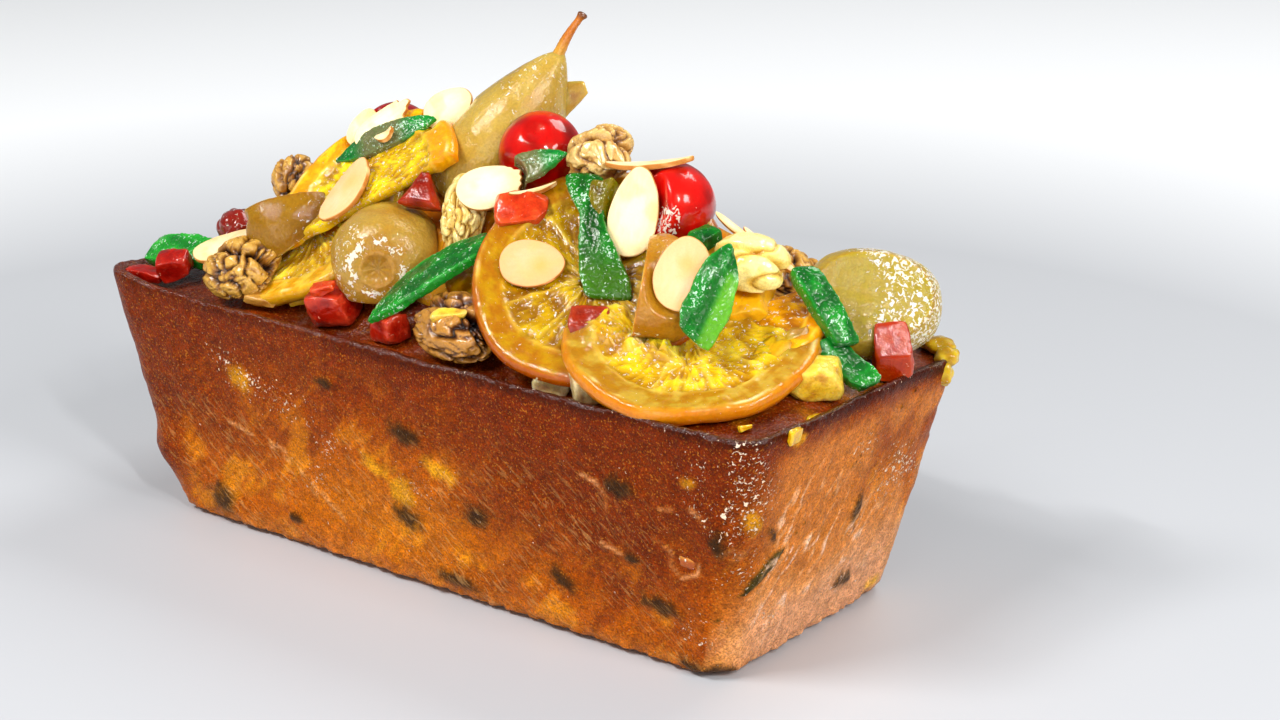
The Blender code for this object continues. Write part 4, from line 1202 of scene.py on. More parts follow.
# %% Body of a pear
PEAR_ROWS = 88
PEAR_COLUMNS = 120
PUCKERS = 9.0


def pear_body(sizes, seed):
    """A whole pear, and what each point has to know of its place on it."""
    length, radius, neck = sizes
    ball = globe(PEAR_ROWS, PEAR_COLUMNS)
    across, up, axis = ball.T
    at_flower = axis < 0
    from_axis = np.hypot(across, up)
    girth = radius * (0.92 - neck * axis - 0.35 * neck * np.maximum(axis, 0.0) ** 3)
    flower_ring = 0.6 * bell(from_axis - 0.14, 0.045) - 0.5 * bell(from_axis, 0.08)
    hollow = (0.035 * length * bell(from_axis, 0.20) - flower_ring) * at_flower
    stout = np.maximum(from_axis, 1e-6) ** (-0.30 if neck < 0.15 else -0.10)
    swell = (1.0 + 0.05 * lumps(ball, 0.8, seed)) * stout
    points = np.column_stack((0.5 * length * axis + hollow, girth * across * swell,
                              girth * up * swell))
    wrinkle = lumps(points * (0.45, 1.0, 1.0), 2.6, seed + 30)
    ripple = lumps(points, 1.1, seed + 31)
    direction = np.column_stack((0.3 * axis, across, up))
    points += direction * (0.22 * wrinkle + 0.07 * ripple)[:, None]
    pucker = bell(from_axis, 0.33) * at_flower
    turn_round = PUCKERS * np.arctan2(up, across) + 2.0 * lumps(ball, 0.5, seed + 32)
    points[:, 0] += pucker * 0.08 * np.sin(turn_round)
    return SimpleNamespace(points=points, axis=axis, across=across, at_flower=at_flower,
                           from_axis=from_axis, wrinkle=wrinkle, pucker=pucker)


# %% [markdown]
# ### Cut sides
#
# Where a knife took a side off, the points beyond the cut are pushed back onto its plane, which
# leaves a flat face with the same fine grid. Two pears show their core, a vein and seeds there,
# and the wedges show the fibres of their flesh.

# %% Cut a pear
CORED = ("pear_with_stem", "pear_half_ridge_left")
FIBROUS = ("pear_wedge_left", "pear_wedge_middle")


def pear_core(points, length):
    """The core, the vein that leads to it and its seeds, as they show on a cut side."""
    from_core = points[:, 0] + 0.16 * length
    core = bell(from_core / (0.15 * length), 1.0) * bell(points[:, 1] / 4.5, 1.0)
    vein = bell(points[:, 1], 0.8) * (points[:, 0] > -0.1 * length)
    seeds = bell(np.hypot(from_core / 2.6, (np.abs(points[:, 1]) - 1.9) / 1.1), 0.8)
    return core, vein, seeds


def fibre_lines(points, seed):
    """Fine lines that run along the flesh."""
    return lumps(points * (0.14, 1.0, 1.0), 1.7, seed + 38)


def cut_pear(name, body, length, cuts, seed):
    """Cuts the body's sides off, and keeps where its cut faces, core, vein and seeds are."""
    points = body.points
    body.core, body.vein, body.seeds = (
        part * float(name in CORED) for part in pear_core(points, length))
    body.cut_face = np.zeros(len(points))
    for angle, offset in cuts:
        outwards = np.array((0.0, math.sin(math.radians(angle)), math.cos(math.radians(angle))))
        beyond = points @ outwards - offset
        body.cut_face = np.maximum(body.cut_face, soft_step(-0.9, 0.5, beyond))
        sunk = 0.25 * lumps(points, 3.0, seed + 33) + 0.12 * lumps(points, 1.2, seed + 34) - 0.1
        sunk = sunk + 0.35 * fibre_lines(points, seed) * (name in FIBROUS)
        sunk = sunk - 1.3 * body.core - 0.3 * body.vein + 1.2 * body.seeds
        points -= np.clip(beyond - sunk * (beyond > 0.6), 0.0, None)[:, None] * outwards
    body.fibres = fibre_lines(points, seed) * (name in FIBROUS)


# %% [markdown]
# ### Skin and painted glints
#
# The skin is a patchwork of two tones, and the cut side has a third with a brown line round it.
# Painted glints lie on the pear towards its neck, in a ring round the hollow of the flower end and in
# a wider band on one side of it.

# %% Paint and painted glints of a pear
FIBRE_DARK = (0.80, 0.70, 0.5)
FIBRE_LIGHT = (1.14, 1.18, 1.5)
SEED_BROWN = (60, 30, 12)
CUT_LINE = (140, 88, 26)


def pear_paint(body, tints, seed):
    base, deep, cut = tints
    patch = soft_step(-0.35, 0.55, lumps(body.points, 9.0, seed + 35) + 0.4 * body.wrinkle)
    return coats(
        mix(base, deep, 0.55 * patch),
        (deep, 0.15 * body.pucker),
        (cut, body.cut_face),
        (np.array(cut) * FIBRE_DARK, body.cut_face * 0.8 * soft_step(0.0, 0.6, body.fibres)),
        (np.array(cut) * FIBRE_LIGHT, body.cut_face * 0.7 * soft_step(0.0, 0.6, -body.fibres)),
        (deep, body.cut_face * np.clip(0.8 * body.core + 0.5 * body.vein, 0.0, 1.0)),
        (SEED_BROWN, body.cut_face * soft_step(0.3, 0.6, body.seeds)),
        (CUT_LINE, 0.45 * bell(body.cut_face - 0.4, 0.3)))


def pear_glint_frost(body, glint_frosting, seed):
    begins = -0.55 if glint_frosting > 1.0 else -0.1
    on_neck = soft_step(begins, begins + 0.7, body.axis + 0.5 * lumps(body.points, 7.0, seed + 36))
    broken = soft_step(-0.5, 0.1, lumps(body.points, 3.0, seed + 37))
    by_flower = 2.2 * bell(body.from_axis - 0.29, 0.11) * broken
    by_flower += 1.3 * bell(body.from_axis - 0.60, 0.22) * soft_step(0.0, 0.4, body.across)
    glint_frost = np.maximum(glint_frosting * on_neck, glint_frosting * by_flower * body.at_flower)
    return glint_frost * (1.0 - 0.1 * body.cut_face)


# %% [markdown]
# ### Laying the pears
#
# Each row below gives a pear's centre, the way it is turned, its length, radius and how much
# thinner its neck is, the sides that are cut off, its tints, how many painted glints it carries
# and how far it may stand out from its solid.

# %% Make and place the pears


def pear(name, centre, turn, sizes, cuts, seed, tints, glint_frosting, slack):
    """A pear made, cut, painted and given its painted glints, in that order."""
    body = pear_body(sizes, seed)
    cut_pear(name, body, sizes[0], cuts, seed)
    return make_piece(f"{name}_fruit", body.points, grid_faces(PEAR_ROWS, PEAR_COLUMNS),
                      pear_paint(body, tints, seed), pear_finish, "pear", name,
                      placement(centre, turn), glint_frost=pear_glint_frost(body, glint_frosting, seed), slack=slack,
                      columns=PEAR_COLUMNS)


HONEY = ((188, 158, 72), (168, 130, 38), (186, 156, 68))
AMBER_PEAR = ((172, 138, 58), (160, 104, 18), (190, 140, 50))
FROSTED_PEAR = ((172, 146, 48), (154, 124, 32), (164, 142, 34))
DARK_PEAR = ((146, 104, 18), (118, 74, 6), (132, 92, 8))
GOLD_PEAR = ((176, 124, 30), (154, 96, 8), (194, 128, 34))
PEARS = (
    ("pear_with_stem", (-7.9, 8.3, 108), (33, 58, -85), (50, 14.5, 0.42), ((180, 2.0),),
     HONEY, 0.6, 0.9),
    ("pear_half_left", (-25, -19, 78.5), (120, -6, 0), (34, 15.4, 0.12), ((180, 9.0),),
     AMBER_PEAR, 0.70, 2.6),
    ("pear_half_right_end", (91.5, 24.5, 77.5), (38, 0, 0), (33, 15.0, 0.10),
     ((180, 12.0), (-58, 8.5)), FROSTED_PEAR, 1.15, 1.6),
    ("pear_wedge_left", (-58, -19.4, 82.4), (15, 31, -30), (24.6, 13, 0.3),
     ((180, 0.0), (60, 3.0)), DARK_PEAR, 0.45, 0.9),
    ("pear_wedge_middle", (58.5, -18, 85.5), (114, 46, 6), (29, 13, 0.2),
     ((180, 0.0), (70, 4.0)), GOLD_PEAR, 0.45, 0.9),
    ("pear_half_ridge_left", (-48, 10, 88), (190, 8, 0), (44, 12.5, 0.3), ((180, 5.0),),
     HONEY, 0.5, 0.9),
    ("pear_half_ridge_middle", (24, 8, 91), (-5, -4, 0), (52, 13.5, 0.3), ((180, 6.0),),
     AMBER_PEAR, 0.5, 0.9),
)
for seed, (name, centre, turn, sizes, cuts, tints, glint_frosting, slack) in enumerate(PEARS):
    piece = pear(name, centre, turn, sizes, cuts, seed, tints, glint_frosting, slack)
    print(piece.name, len(piece.data.polygons), "faces")

# %% [markdown]
# ### The stalk
#
# One pear keeps its stalk: a thin woody rod that thickens into the neck and ends in a dark knob.
# It is a globe again, stretched to a rod, with a slight bend.

# %% Stalk of the pear
STEM_LENGTH = 15.0
STEM_RADIUS = 1.15
STEM_ROWS = 60
STEM_COLUMNS = 24
INTO_NECK = 3.5
STEM_PALE = (206, 150, 52)
STEM_BROWN = (186, 104, 22)
STEM_KNOB = (104, 56, 18)


def stalk():
    """The stalk of the first pear, in the pear's own frame."""
    name, centre, turn, sizes = PEARS[0][:4]
    share, spin = rows_and_turns(STEM_ROWS, STEM_COLUMNS, 1.0)
    ends = np.sqrt(np.clip(1.0 - np.clip((share - 0.95) / 0.05, 0.0, 1.0) ** 2, 0.0, 1.0))
    knob = 0.55 * bell(share - 0.97, 0.08)
    girth = STEM_RADIUS * (1.5 - 0.9 * share + knob) * ends * (share > 0.0)
    sway = 0.9 * np.sin(2.6 * share)
    tip = 0.5 * sizes[0] - INTO_NECK
    points = np.column_stack((tip + STEM_LENGTH * share, np.cos(spin) * girth + sway,
                              np.sin(spin) * girth))
    points[:, 1:] += (0.10 * lumps(points, 0.9, 41))[:, None] * np.stack(
        (np.cos(spin), np.sin(spin)), axis=1)
    paint = mix(STEM_PALE, STEM_BROWN, soft_step(0.15, 0.6, share))
    paint = mix(paint, STEM_KNOB, soft_step(0.86, 0.98, share))
    return make_piece("pear_stalk", points, grid_faces(STEM_ROWS, STEM_COLUMNS), paint,
                      walnut_finish, "pear", name, placement(centre, turn))


print(stalk().name, "made")

# %% [markdown]
# ## Cherries
#
# A candied cherry is a tight glossy ball with a dimple where its stalk was. Its skin is smooth, so
# the lamps show on it as small bright shapes. One at the left end has dried and wrinkled and carries
# painted glints all over, and one has a patch of painted glints on the side that it turns to the front.

# %% Form and paint of a cherry
CHERRY_ROWS = 52
CHERRY_COLUMNS = 72
GLINT_SIDE = np.array((0.47, -0.88, -0.03))


def cherry(name, centre, turn, radius, seed, tint, wrinkled):
    """A cherry with a dimple at its pole. Wrinkles are noise that is folded at zero."""
    ball = globe(CHERRY_ROWS, CHERRY_COLUMNS)
    reach = np.hypot(ball[:, 0], ball[:, 1])
    dimple = 0.12 * radius * bell(reach, 0.3) * (ball[:, 2] > 0)
    points = ball * radius * 1.06
    points *= (1.0 + 0.03 * lumps(points, radius * 1.1, seed))[:, None]
    points[:, 2] = points[:, 2] * 0.95 - dimple
    fold = np.abs(lumps(points * (1.0, 0.6, 1.0), 3.4, seed + 50))
    points -= ball * (wrinkled * (0.35 - fold))[:, None]
    tint = np.array(tint, float)
    paint = mix(tint, tint * 0.62, soft_step(-0.2, 0.7, lumps(points, 6.0, seed + 51)))
    paint = mix(paint, tint * 0.5, bell(reach, 0.22) * (ball[:, 2] > 0))
    rotation, middle = placement(centre, turn)
    # A patch of painted glints on the side that faces the front.
    glint_painted = soft_step(0.86, 0.96, ball @ rotation.T @ GLINT_SIDE) * (0.0 < wrinkled < 1.0)
    return make_piece(f"{name}_fruit", points, grid_faces(CHERRY_ROWS, CHERRY_COLUMNS), paint,
                      cherry_finish, "cherry", name, (rotation, middle),
                      glint_frost=0.6 * wrinkled + 1.1 * glint_painted, slack=1.5, columns=CHERRY_COLUMNS)


# %% [markdown]
# ### Laying the cherries
#
# Each row below gives a cherry's centre, the way it is turned, its radius, its colour and how
# wrinkled it is.

# %% Place the cherries
CHERRIES = (
    ("cherry_by_pear", (7, 2, 106.5), (40, 10, 140), 10.0, (192, 16, 12), 0.0),
    ("cherry_right", (48, 1, 99.9), (120, 10, 205), 10.6, (204, 20, 16), 0.12),
    ("cherry_behind_almonds", (-44, 5, 101), (0, 0, -30), 9.8, (160, 12, 24), 0.0),
    ("cherry_wrinkled_left", (-81, -17, 75.5), (20, 0, 15), 6.0, (128, 30, 22), 1.0),
    ("cherry_back", (-7, 29, 83.5), (70, 0, 30), 10.0, (196, 10, 12), 0.0),
)
for seed, (name, centre, turn, radius, tint, wrinkled) in enumerate(CHERRIES):
    print(cherry(name, centre, turn, radius, seed, tint, wrinkled).name, "made")

# %% [markdown]
# ## Walnuts
#
# Half a kernel looks like a brain: a groove between two lobes, and worm-like folds with dark
# creases. Noise is close to zero along winding lines, so a fold is raised wherever the noise is
# near zero. Two sizes of fold are laid over each other, and the paint goes from tan on the folds to
# dark brown in the creases: partly the kernel's own skin, partly painted highlight on the folds and
# painted shade in the creases.

# %% Form and paint of a walnut
WALNUT_ROWS = 90
WALNUT_COLUMNS = 124


def walnut(name, centre, turn, sizes, seed, tints, grain, depth):
    """Half a kernel with folds of the given grain, as a share of its half length, and depth."""
    length, width, height = sizes
    ball = globe(WALNUT_ROWS, WALNUT_COLUMNS)
    x, y, z = ball.T
    warp = 0.17 * np.column_stack([lumps(ball, 0.4, seed + 60 + axis) for axis in range(3)])
    fold = np.sqrt(np.clip(np.abs(lumps(ball + warp, grain, seed)) / 0.24, 0.0, 1.0))
    wrinkle = soft_step(0.0, 0.16, np.abs(lumps(ball + 1.5 * warp, 0.5 * grain, seed + 64)))
    wrinkle = np.maximum(wrinkle, float(grain > 0.9))
    groove = 0.22 * bell(y, 0.12) * (z > -0.2)
    notch = 0.22 * np.exp(-(((x - 1.0) / 0.35) ** 2 + (y / 0.4) ** 2))
    size = 1.04 + depth * (fold - 0.75) + 0.25 * depth * (wrinkle - 1.0) - groove - notch
    low = np.where(z > 0.0, z, 0.55 * z)
    points = np.column_stack((0.5 * length * x * size, 0.5 * width * y * size,
                              0.62 * height * low * size))
    points += ball * (0.12 * lumps(points, 1.0, seed + 65))[:, None]
    light, brown, crease_skin_and_shade = tints
    lift = fold - 0.35 * (1.0 - wrinkle) - 2.0 * groove - 1.2 * notch
    # Dark in the creases and the groove, partly the kernel's skin and partly painted shade; the light
    # tan on the fold tops is partly painted highlight.
    paint = mix(crease_skin_and_shade, brown, soft_step(0.12, 0.55, lift))
    paint = mix(paint, light, soft_step(0.45, 1.0, lift + 0.35 * lumps(points, 2.0, seed + 66)))
    return make_piece(f"{name}_kernel", points, grid_faces(WALNUT_ROWS, WALNUT_COLUMNS), paint,
                      walnut_finish, "walnut", name, placement(centre, turn), slack=1.6,
                      columns=WALNUT_COLUMNS)


# %% [markdown]
# ### Laying the walnuts
#
# Each row below gives a kernel's centre, the way it is turned, its length, width and height, its
# tints, and the grain and depth of its folds. Glazed kernels are pale and have softer folds.

# %% Place the walnuts
BROWN_NUT = ((204, 154, 64), (136, 84, 20), (42, 20, 4))
PALE_NUT = ((216, 178, 104), (180, 128, 56), (100, 58, 18))
SYRUPY_NUT = ((244, 218, 138), (218, 172, 70), (150, 98, 26))
GLAZED_NUT = ((252, 230, 146), (236, 196, 86), (190, 134, 36))
DARK_NUT = ((180, 122, 44), (84, 42, 8), (24, 9, 2))
WALNUTS = (
    ("walnut_left", (-64, -33, 71.5), (5, 11, -36), (22, 17, 13), BROWN_NUT, 0.50, 0.26),
    ("walnut_low_middle", (11, -33.5, 70.3), (-5, -3, -30), (26, 17, 12.4), DARK_NUT, 0.52, 0.34),
    ("walnut_top", (28, 0, 109.5), (21, 12, -34), (17, 15, 11), PALE_NUT, 0.60, 0.22),
    ("walnut_far_left", (-77, 1, 85.5), (119, 29, 30), (14, 12, 11), BROWN_NUT, 0.70, 0.26),
    ("walnut_glazed_upright", (-5, -13, 92.5), (103, 65, 10), (21, 11, 9), SYRUPY_NUT, 0.42, 0.20),
    ("walnut_glazed_right", (75, -3, 91.5), (17, -8, -38), (19, 14, 10), GLAZED_NUT, 1.25, 0.16),
    ("walnut_back", (65, 27, 77.5), (160, 5, -26), (22, 17, 13), BROWN_NUT, 0.62, 0.26),
)
for seed, (name, centre, turn, sizes, tints, grain, depth) in enumerate(WALNUTS):
    print(walnut(name, centre, turn, sizes, seed, tints, grain, depth).name, "made")

# %% [markdown]
# ## Cubes and strips
#
# The red and pale cubes and the green strips are cut by hand from candied fruit, so they start as a
# block with many fine faces. The block is pinched, tapered and bent by formulas, its corners are
# worn round, and a fine relief makes it sugary. The solid model's pieces have the same formulas
# on a coarser block.

# %% A block of fine faces


def block(cuts):
    """Corners and quads of a unit cube, cut into a number of fine steps along each axis."""
    form = bmesh.new()
    bmesh.ops.create_cube(form, size=1.0)
    for axis, count in enumerate(cuts):
        edges = [edge for edge in form.edges
                 if abs(edge.verts[0].co[axis] - edge.verts[1].co[axis]) > 0.9]
        bmesh.ops.subdivide_edges(form, edges=edges, cuts=count, use_grid_fill=True)
    form.verts.index_update()
    points = np.array([vert.co[:] for vert in form.verts])
    faces = [[vert.index for vert in face.verts] for face in form.faces]
    form.free()
    return points, faces


def worn(points, amount):
    """The block with its edges and corners worn round."""
    size = (np.abs(2.0 * points) ** 6).sum(axis=1) ** (1.0 / 6.0)
    return points * (1.0 - amount + amount / np.maximum(size, 1e-6))[:, None]


print("corners of a block with two cuts along each axis:", len(block((2, 2, 2))[0]))

# %% [markdown]
# ### Cubes
#
# A knife never leaves a perfect cube. A few random chops take its corners off and one end is narrower
# than the other. The paint is paler towards the worn edges and on raised lumps, and darker in the low
# facets, where it is painted shade.

# %% Form and paint of a cube
CUBE_CUTS = (17, 17, 17)
CUBE_CHOPS = 5
IN_SHADE = (0.76, 0.58, 0.6)


def cube(centre, turn, sizes, seed, tints):
    """The points, faces and paint of a hand-cut cube."""
    *edges, pinch = sizes
    points, faces = block(CUBE_CUTS)
    length = np.linalg.norm(points, axis=1)
    round_off = 1.0 - 0.20 * np.maximum(length - 0.62, 0.0)
    shift = 0.12 * np.column_stack([lumps(points, 0.8, seed + axis) for axis in range(3)])
    points = worn(points, 0.45) * round_off[:, None] + shift
    chops = np.array([noise.random_unit_vector()[:] for _ in range(CUBE_CHOPS)])
    for chop in chops:
        reach = points @ chop
        points -= np.clip(reach - 0.86 * reach.max(), 0.0, None)[:, None] * chop
    narrow = 1.0 - pinch * (0.5 + points[:, 0])
    points = points * np.array(edges) * np.column_stack((np.ones(len(points)), narrow, narrow))
    facet = lumps(points, 2.6, seed + 80)
    sugar = lumps(points, 0.9, seed + 81)
    direction = points / np.maximum(np.linalg.norm(points, axis=1, keepdims=True), 1e-6)
    points = points + direction * (0.26 * facet + 0.13 * sugar)[:, None]
    base, edge = (np.array(tint, float) for tint in tints)
    ridge = soft_step(0.50, 0.78, length + 0.10 * facet)
    paint = mix(base, edge, 0.45 * ridge + 0.35 * soft_step(0.1, 0.6, sugar + 0.4 * facet))
    # Painted shade in the low facets.
    paint = mix(paint, base * IN_SHADE, soft_step(0.1, 0.7, -facet) * 0.6)
    rotation, middle = placement(centre, turn)
    return points @ rotation.T + middle, faces, paint


# %% [markdown]
# ### Laying the cubes
#
# Each row below gives a piece's centre, the way it is turned, its length, width and height with
# how much narrower one end is, and its tints: the flesh and the worn edges.

# %% Place the cubes
RED = ((158, 26, 12), (212, 84, 50))
CRIMSON = ((140, 14, 8), (192, 52, 32))
SALMON = ((192, 48, 16), (220, 98, 44))
BROWN_RED = ((142, 34, 12), (176, 72, 30))
SCARLET = ((160, 42, 0), (182, 66, 4))
BRICK = ((132, 24, 4), (172, 56, 14))
DICE = (
    ("red_die_corner", (-88, -34.5, 68.8), (25, 12, -20), (8.6, 7.6, 7.0, 0.3), CRIMSON),
    ("red_strip_corner", (-96, -37.5, 65.4), (8, 0, -15), (10.5, 4.0, 3.0, 0.0), CRIMSON),
    ("red_die_front", (-31, -34.5, 69), (20, 8, -18), (11.5, 10, 9, 0.1), RED),
    ("red_die_under_strip", (-11, -35.5, 67.3), (-15, 5, -10), (9, 7, 7, 0.0), RED),
    ("red_die_pointed", (-15.5, -17, 97.6), (110, 62, 0), (9, 12, 6, 0.85), BRICK),
    ("red_die_middle", (15, -15, 96.4), (35, 5, -48), (12, 10, 7, 0.15), SALMON),
    ("red_die_low", (46.8, -28.0, 77.4), (20, 8, -40), (10, 8, 7, 0.1), BROWN_RED),
    ("red_die_right_end", (102.4, 16.4, 70.6), (42, 4, -98), (9, 13.5, 6.5, 0.0), SCARLET),
    ("red_die_back", (-88, 31, 66.5), (160, 5, 25), (12, 10, 9, 0.1), RED),
)
FROSTED = ((196, 168, 112), (224, 206, 164))
CITRON = ((228, 182, 44), (236, 206, 108))
PALE_CUBES = (
    ("pale_cube_left", (43, -37.5, 65.6), (25, -10, -20), (8.5, 6, 5, 0.0), FROSTED),
    ("pale_cube_right", (53.5, -38, 66.3), (50, 5, -15), (7.5, 7, 7, 0.1), FROSTED),
    ("citron_chunk", (97, -8, 69.3), (50, -4, -20), (13, 9, 8, 0.1), CITRON),
)
noise.seed_set(7)
for kind, finish, slot in ((DICE, red_finish, "red_fruit"), (PALE_CUBES, pale_finish, "pale_fruit")):
    for seed, (name, centre, turn, sizes, tints) in enumerate(kind):
        shape = cube(centre, turn, sizes, seed, tints)
        make_piece(f"{name}_piece", *shape, finish, slot, name, glint_frost=0.28, slack=1.8)
print("cubes:", len(DICE) + len(PALE_CUBES))

# %% [markdown]
# ### Green strips
#
# The green pieces are long and thin, and they were soft when they were laid down. Each block is
# bent round an arc, drawn in towards its ends and folded a little by noise. Some have a second
# colour: a smoky middle, a pale side along a fold, or an olive end.

# %% Form of a green strip
STRIP_CUTS = (74, 22, 7)
EMERALD = ((5, 84, 28), (24, 138, 38))
LEAF = ((12, 112, 34), (40, 158, 44))
SMOKY = ((6, 98, 38), (22, 132, 48), (112, 104, 66))
FOLDED = ((6, 92, 28), (18, 128, 38), (104, 176, 40))
TWO_TONE = ((4, 68, 18), (18, 116, 26), (70, 116, 14))


def bent_strip(sizes, bend, taper, seed, has_waist):
    """A bent, tapered strip: its points and faces, and where each point is on the block."""
    length, width, thickness = sizes
    points, faces = block(STRIP_CUTS)
    x, y, z = worn(points, 0.55).T
    bend_angle = math.radians(bend)
    radius = length / bend_angle
    end = np.where(x > 0, taper[1], taper[0])
    narrow = 1.0 - end * np.abs(2.0 * x) ** 2.2 - has_waist * 0.46 * bell(x + 0.10, 0.2)
    outline_wave = lumps(np.column_stack((x * 5.0, y * 2.0, 0.0 * x)), 1.0, seed)
    crown = 0.35 * thickness * (0.25 - y * y)
    angle = (x + 0.12 * y) * bend_angle
    reach = radius + z * thickness * (1.0 - 0.5 * end * np.abs(2.0 * x) ** 3) + crown
    points = np.column_stack((reach * np.sin(angle),
                              y * width * narrow * (1.0 + 0.16 * outline_wave),
                              reach * np.cos(angle) - radius))
    return points, faces, (x, y, z)


# %% Relief and paint of a green strip


def strip(name, centre, turn, sizes, bend, taper, seed, tints):
    """A strip with folds, sugar relief, painted glints that gather on its folds, and a second colour
    where it has one.
    """
    points, faces, (x, y, z) = bent_strip(sizes, bend, taper, seed, float(tints is TWO_TONE))
    fold = lumps(points * (0.5, 1.0, 1.0), 3.0, seed + 90)
    sugar = lumps(points, 0.9, seed + 91)
    points[:, 2] += np.sign(z) * (0.30 * fold + 0.10 * sugar)
    points[:, 1] += np.sign(y) * 0.20 * sugar
    dark, bright = (np.array(tint, float) for tint in tints[:2])
    paint = mix(dark, bright, soft_step(-0.4, 0.6, fold + 0.3 * sugar))
    paint = mix(paint, bright * 1.15, 0.5 * soft_step(0.36, 0.48, np.abs(y)))
    if tints is SMOKY:
        paint = mix(paint, tints[2], 0.9 * soft_step(0.36, 0.14, np.abs(x + 0.15 * y)))
    elif tints is FOLDED:
        paint = mix(paint, tints[2], 0.9 * soft_step(-0.02, -0.22, y) * soft_step(0.38, 0.2, x))
        points[:, 2] += 1.1 * bell(y, 0.2)
    elif tints is TWO_TONE:
        paint = mix(paint, tints[2], 0.75 * soft_step(0.05, 0.35, x))
    glint_frost = 0.45 + 0.45 * soft_step(-0.1, 0.5, fold)
    return make_piece(f"{name}_fruit", points, faces, paint, green_finish, "green_fruit", name,
                      placement(centre, turn), glint_frost=glint_frost, slack=1.8)


# %% [markdown]
# ### Laying the green strips
#
# Each row below gives a strip's centre, the way it is turned, its length, width and thickness, the
# angle that it is bent through, how much it is drawn in at each end, and its tints.

# %% Place the green strips
GREEN_STRIPS = (
    ("green_curl_left", (-93, -27, 69.6), (8, 5, -35), (19.5, 9.5, 4), 14, (0.1, 0.1), LEAF),
    ("green_leaf_top", (-39, -6, 104.6), (15, 24, -44), (30, 8, 2.2), 20, (0.9, 0.7), SMOKY),
    ("green_leaf_middle", (13, -11, 106.3), (25, 22, -50), (21, 8, 2.4), 20, (0.5, 0.9), SMOKY),
    ("green_strip_down", (38.5, -16, 95.5), (-36, -47, -24), (34, 10.5, 3.4), 35, (0.1, -0.1), TWO_TONE),
    ("green_strip_low_left", (-2, -31.5, 80.7), (39, 33, -21), (34, 10, 2.8), 18, (0.8, 0.25), EMERALD),
    ("green_fold", (77.5, -22, 89.4), (76, 58, -46), (23, 10.5, 3.2), 25, (0.1, 0.8), FOLDED),
    ("green_rod_right", (92.5, 2, 83.2), (-7, -47, -20), (21, 6.5, 4.5), 15, (0.1, 0.1), EMERALD),
    ("green_piece_right_end", (99, 1.5, 70.5), (15, -37, -40), (16, 7, 3.6), -25, (0.2, 0.2), EMERALD),
    ("green_strip_back", (-86, 13, 73.5), (205, -18, -20), (30, 9, 3), 20, (0.2, 0.6), EMERALD),
)
for seed, (name, centre, turn, sizes, bend, taper, tints) in enumerate(GREEN_STRIPS):
    strip(name, centre, turn, sizes, bend, taper, seed, tints)
print("strips:", len(GREEN_STRIPS))

# %% [markdown]
# ## Bed of peel and syrup
#
# Between the large pieces lies a bed of peel and syrup, which shows wherever there is a gap. It is
# a low lumpy mound that follows the crown, so that nothing seems to float.

# %% Bed of peel and syrup
BED_ROWS = 80
BED_COLUMNS = 130
BED_HALF_LENGTH = 86.0
BED_HALF_WIDTH = 26.0
BED_MIDDLE_Y = 1.0
BED_RISE = 9.0
PEEL_AMBER = (164, 84, 10)
PEEL_GOLD = (214, 148, 24)
PEEL_SHADE = (120, 42, 8)


def bed():
    """A flattened globe whose upper half rises from the crown and whose lower half sinks into it."""
    ball = globe(BED_ROWS, BED_COLUMNS)
    x = BED_HALF_LENGTH * ball[:, 0]
    y = BED_HALF_WIDTH * ball[:, 1] + BED_MIDDLE_Y
    place = np.column_stack((x, y, 0.0 * x))
    swell = BED_RISE * np.sqrt(np.clip(ball[:, 2], 0.0, 1.0)) - 4.0 * np.clip(-ball[:, 2], 0.0, 1.0)
    z = crown_height(x, y) + swell + 1.6 * lumps(place, 7.0, 100) + 0.7 * lumps(place, 2.6, 101)
    patch = lumps(place, 8.0, 102) + 0.4 * lumps(place, 3.0, 103)
    # Random patches on the left part are painted shade.
    shade = soft_step(0.1, 0.5, lumps(place, 11.0, 104)) * (x < 40.0)
    paint = mix(PEEL_AMBER, PEEL_GOLD, soft_step(-0.4, 0.4, patch))
    paint = mix(paint, PEEL_SHADE, 0.6 * shade)
    return make_piece("peel_and_syrup", np.column_stack((x, y, z)),
                      grid_faces(BED_ROWS, BED_COLUMNS), paint, orange_finish, "orange", glint_frost=0.35)


print(bed().name, "made")

# %% [markdown]
# ## Slivers of almond
#
# The smallest things have no solid of their own. Slivers are flakes that broke along their length.
# Each row gives the two ends of a sliver and its width, and the same function makes them.

# %% Slivers of almond
SLIVER_ROLL = -30.0
SLIVERS = (
    ("sliver_by_cherry", (62.0, 0.5, 100.9), (76.5, -3, 96.8), 1.8),
    ("sliver_on_walnut", (69.8, 1, 98.4), (86.6, 1, 89.4), 2.0),
    ("sliver_under_flake", (12.6, -17, 100.9), (20.5, -8, 103.2), 1.2),
    ("fragment_on_leaf", (-37.6, -9.8, 105.6), (-33.6, -8.0, 108.6), 2.8),
)
slivers = []
for seed, (name, start, end, width) in enumerate(SLIVERS, start=20):
    step = Vector(end) - Vector(start)
    heading = math.degrees(math.atan2(step.y, step.x))
    rise = math.degrees(math.asin(step.z / step.length))
    centre = (Vector(start) + Vector(end)) / 2.0
    slivers.append(almond(name, centre, (heading, rise, SLIVER_ROLL), (step.length, width), seed, 0.3))
join_parts("almond_slivers", slivers, almond_finish, "almond", 0.0)
print("slivers:", len(slivers))

# %% [markdown]
# ## Chips of fruit and nut
#
# Chopping leaves chips of every kind, and they stick wherever the syrup is wet. They are cubes on
# a small scale, so the cube function makes them. All chips of one kind share a finish and are
# joined into one piece.

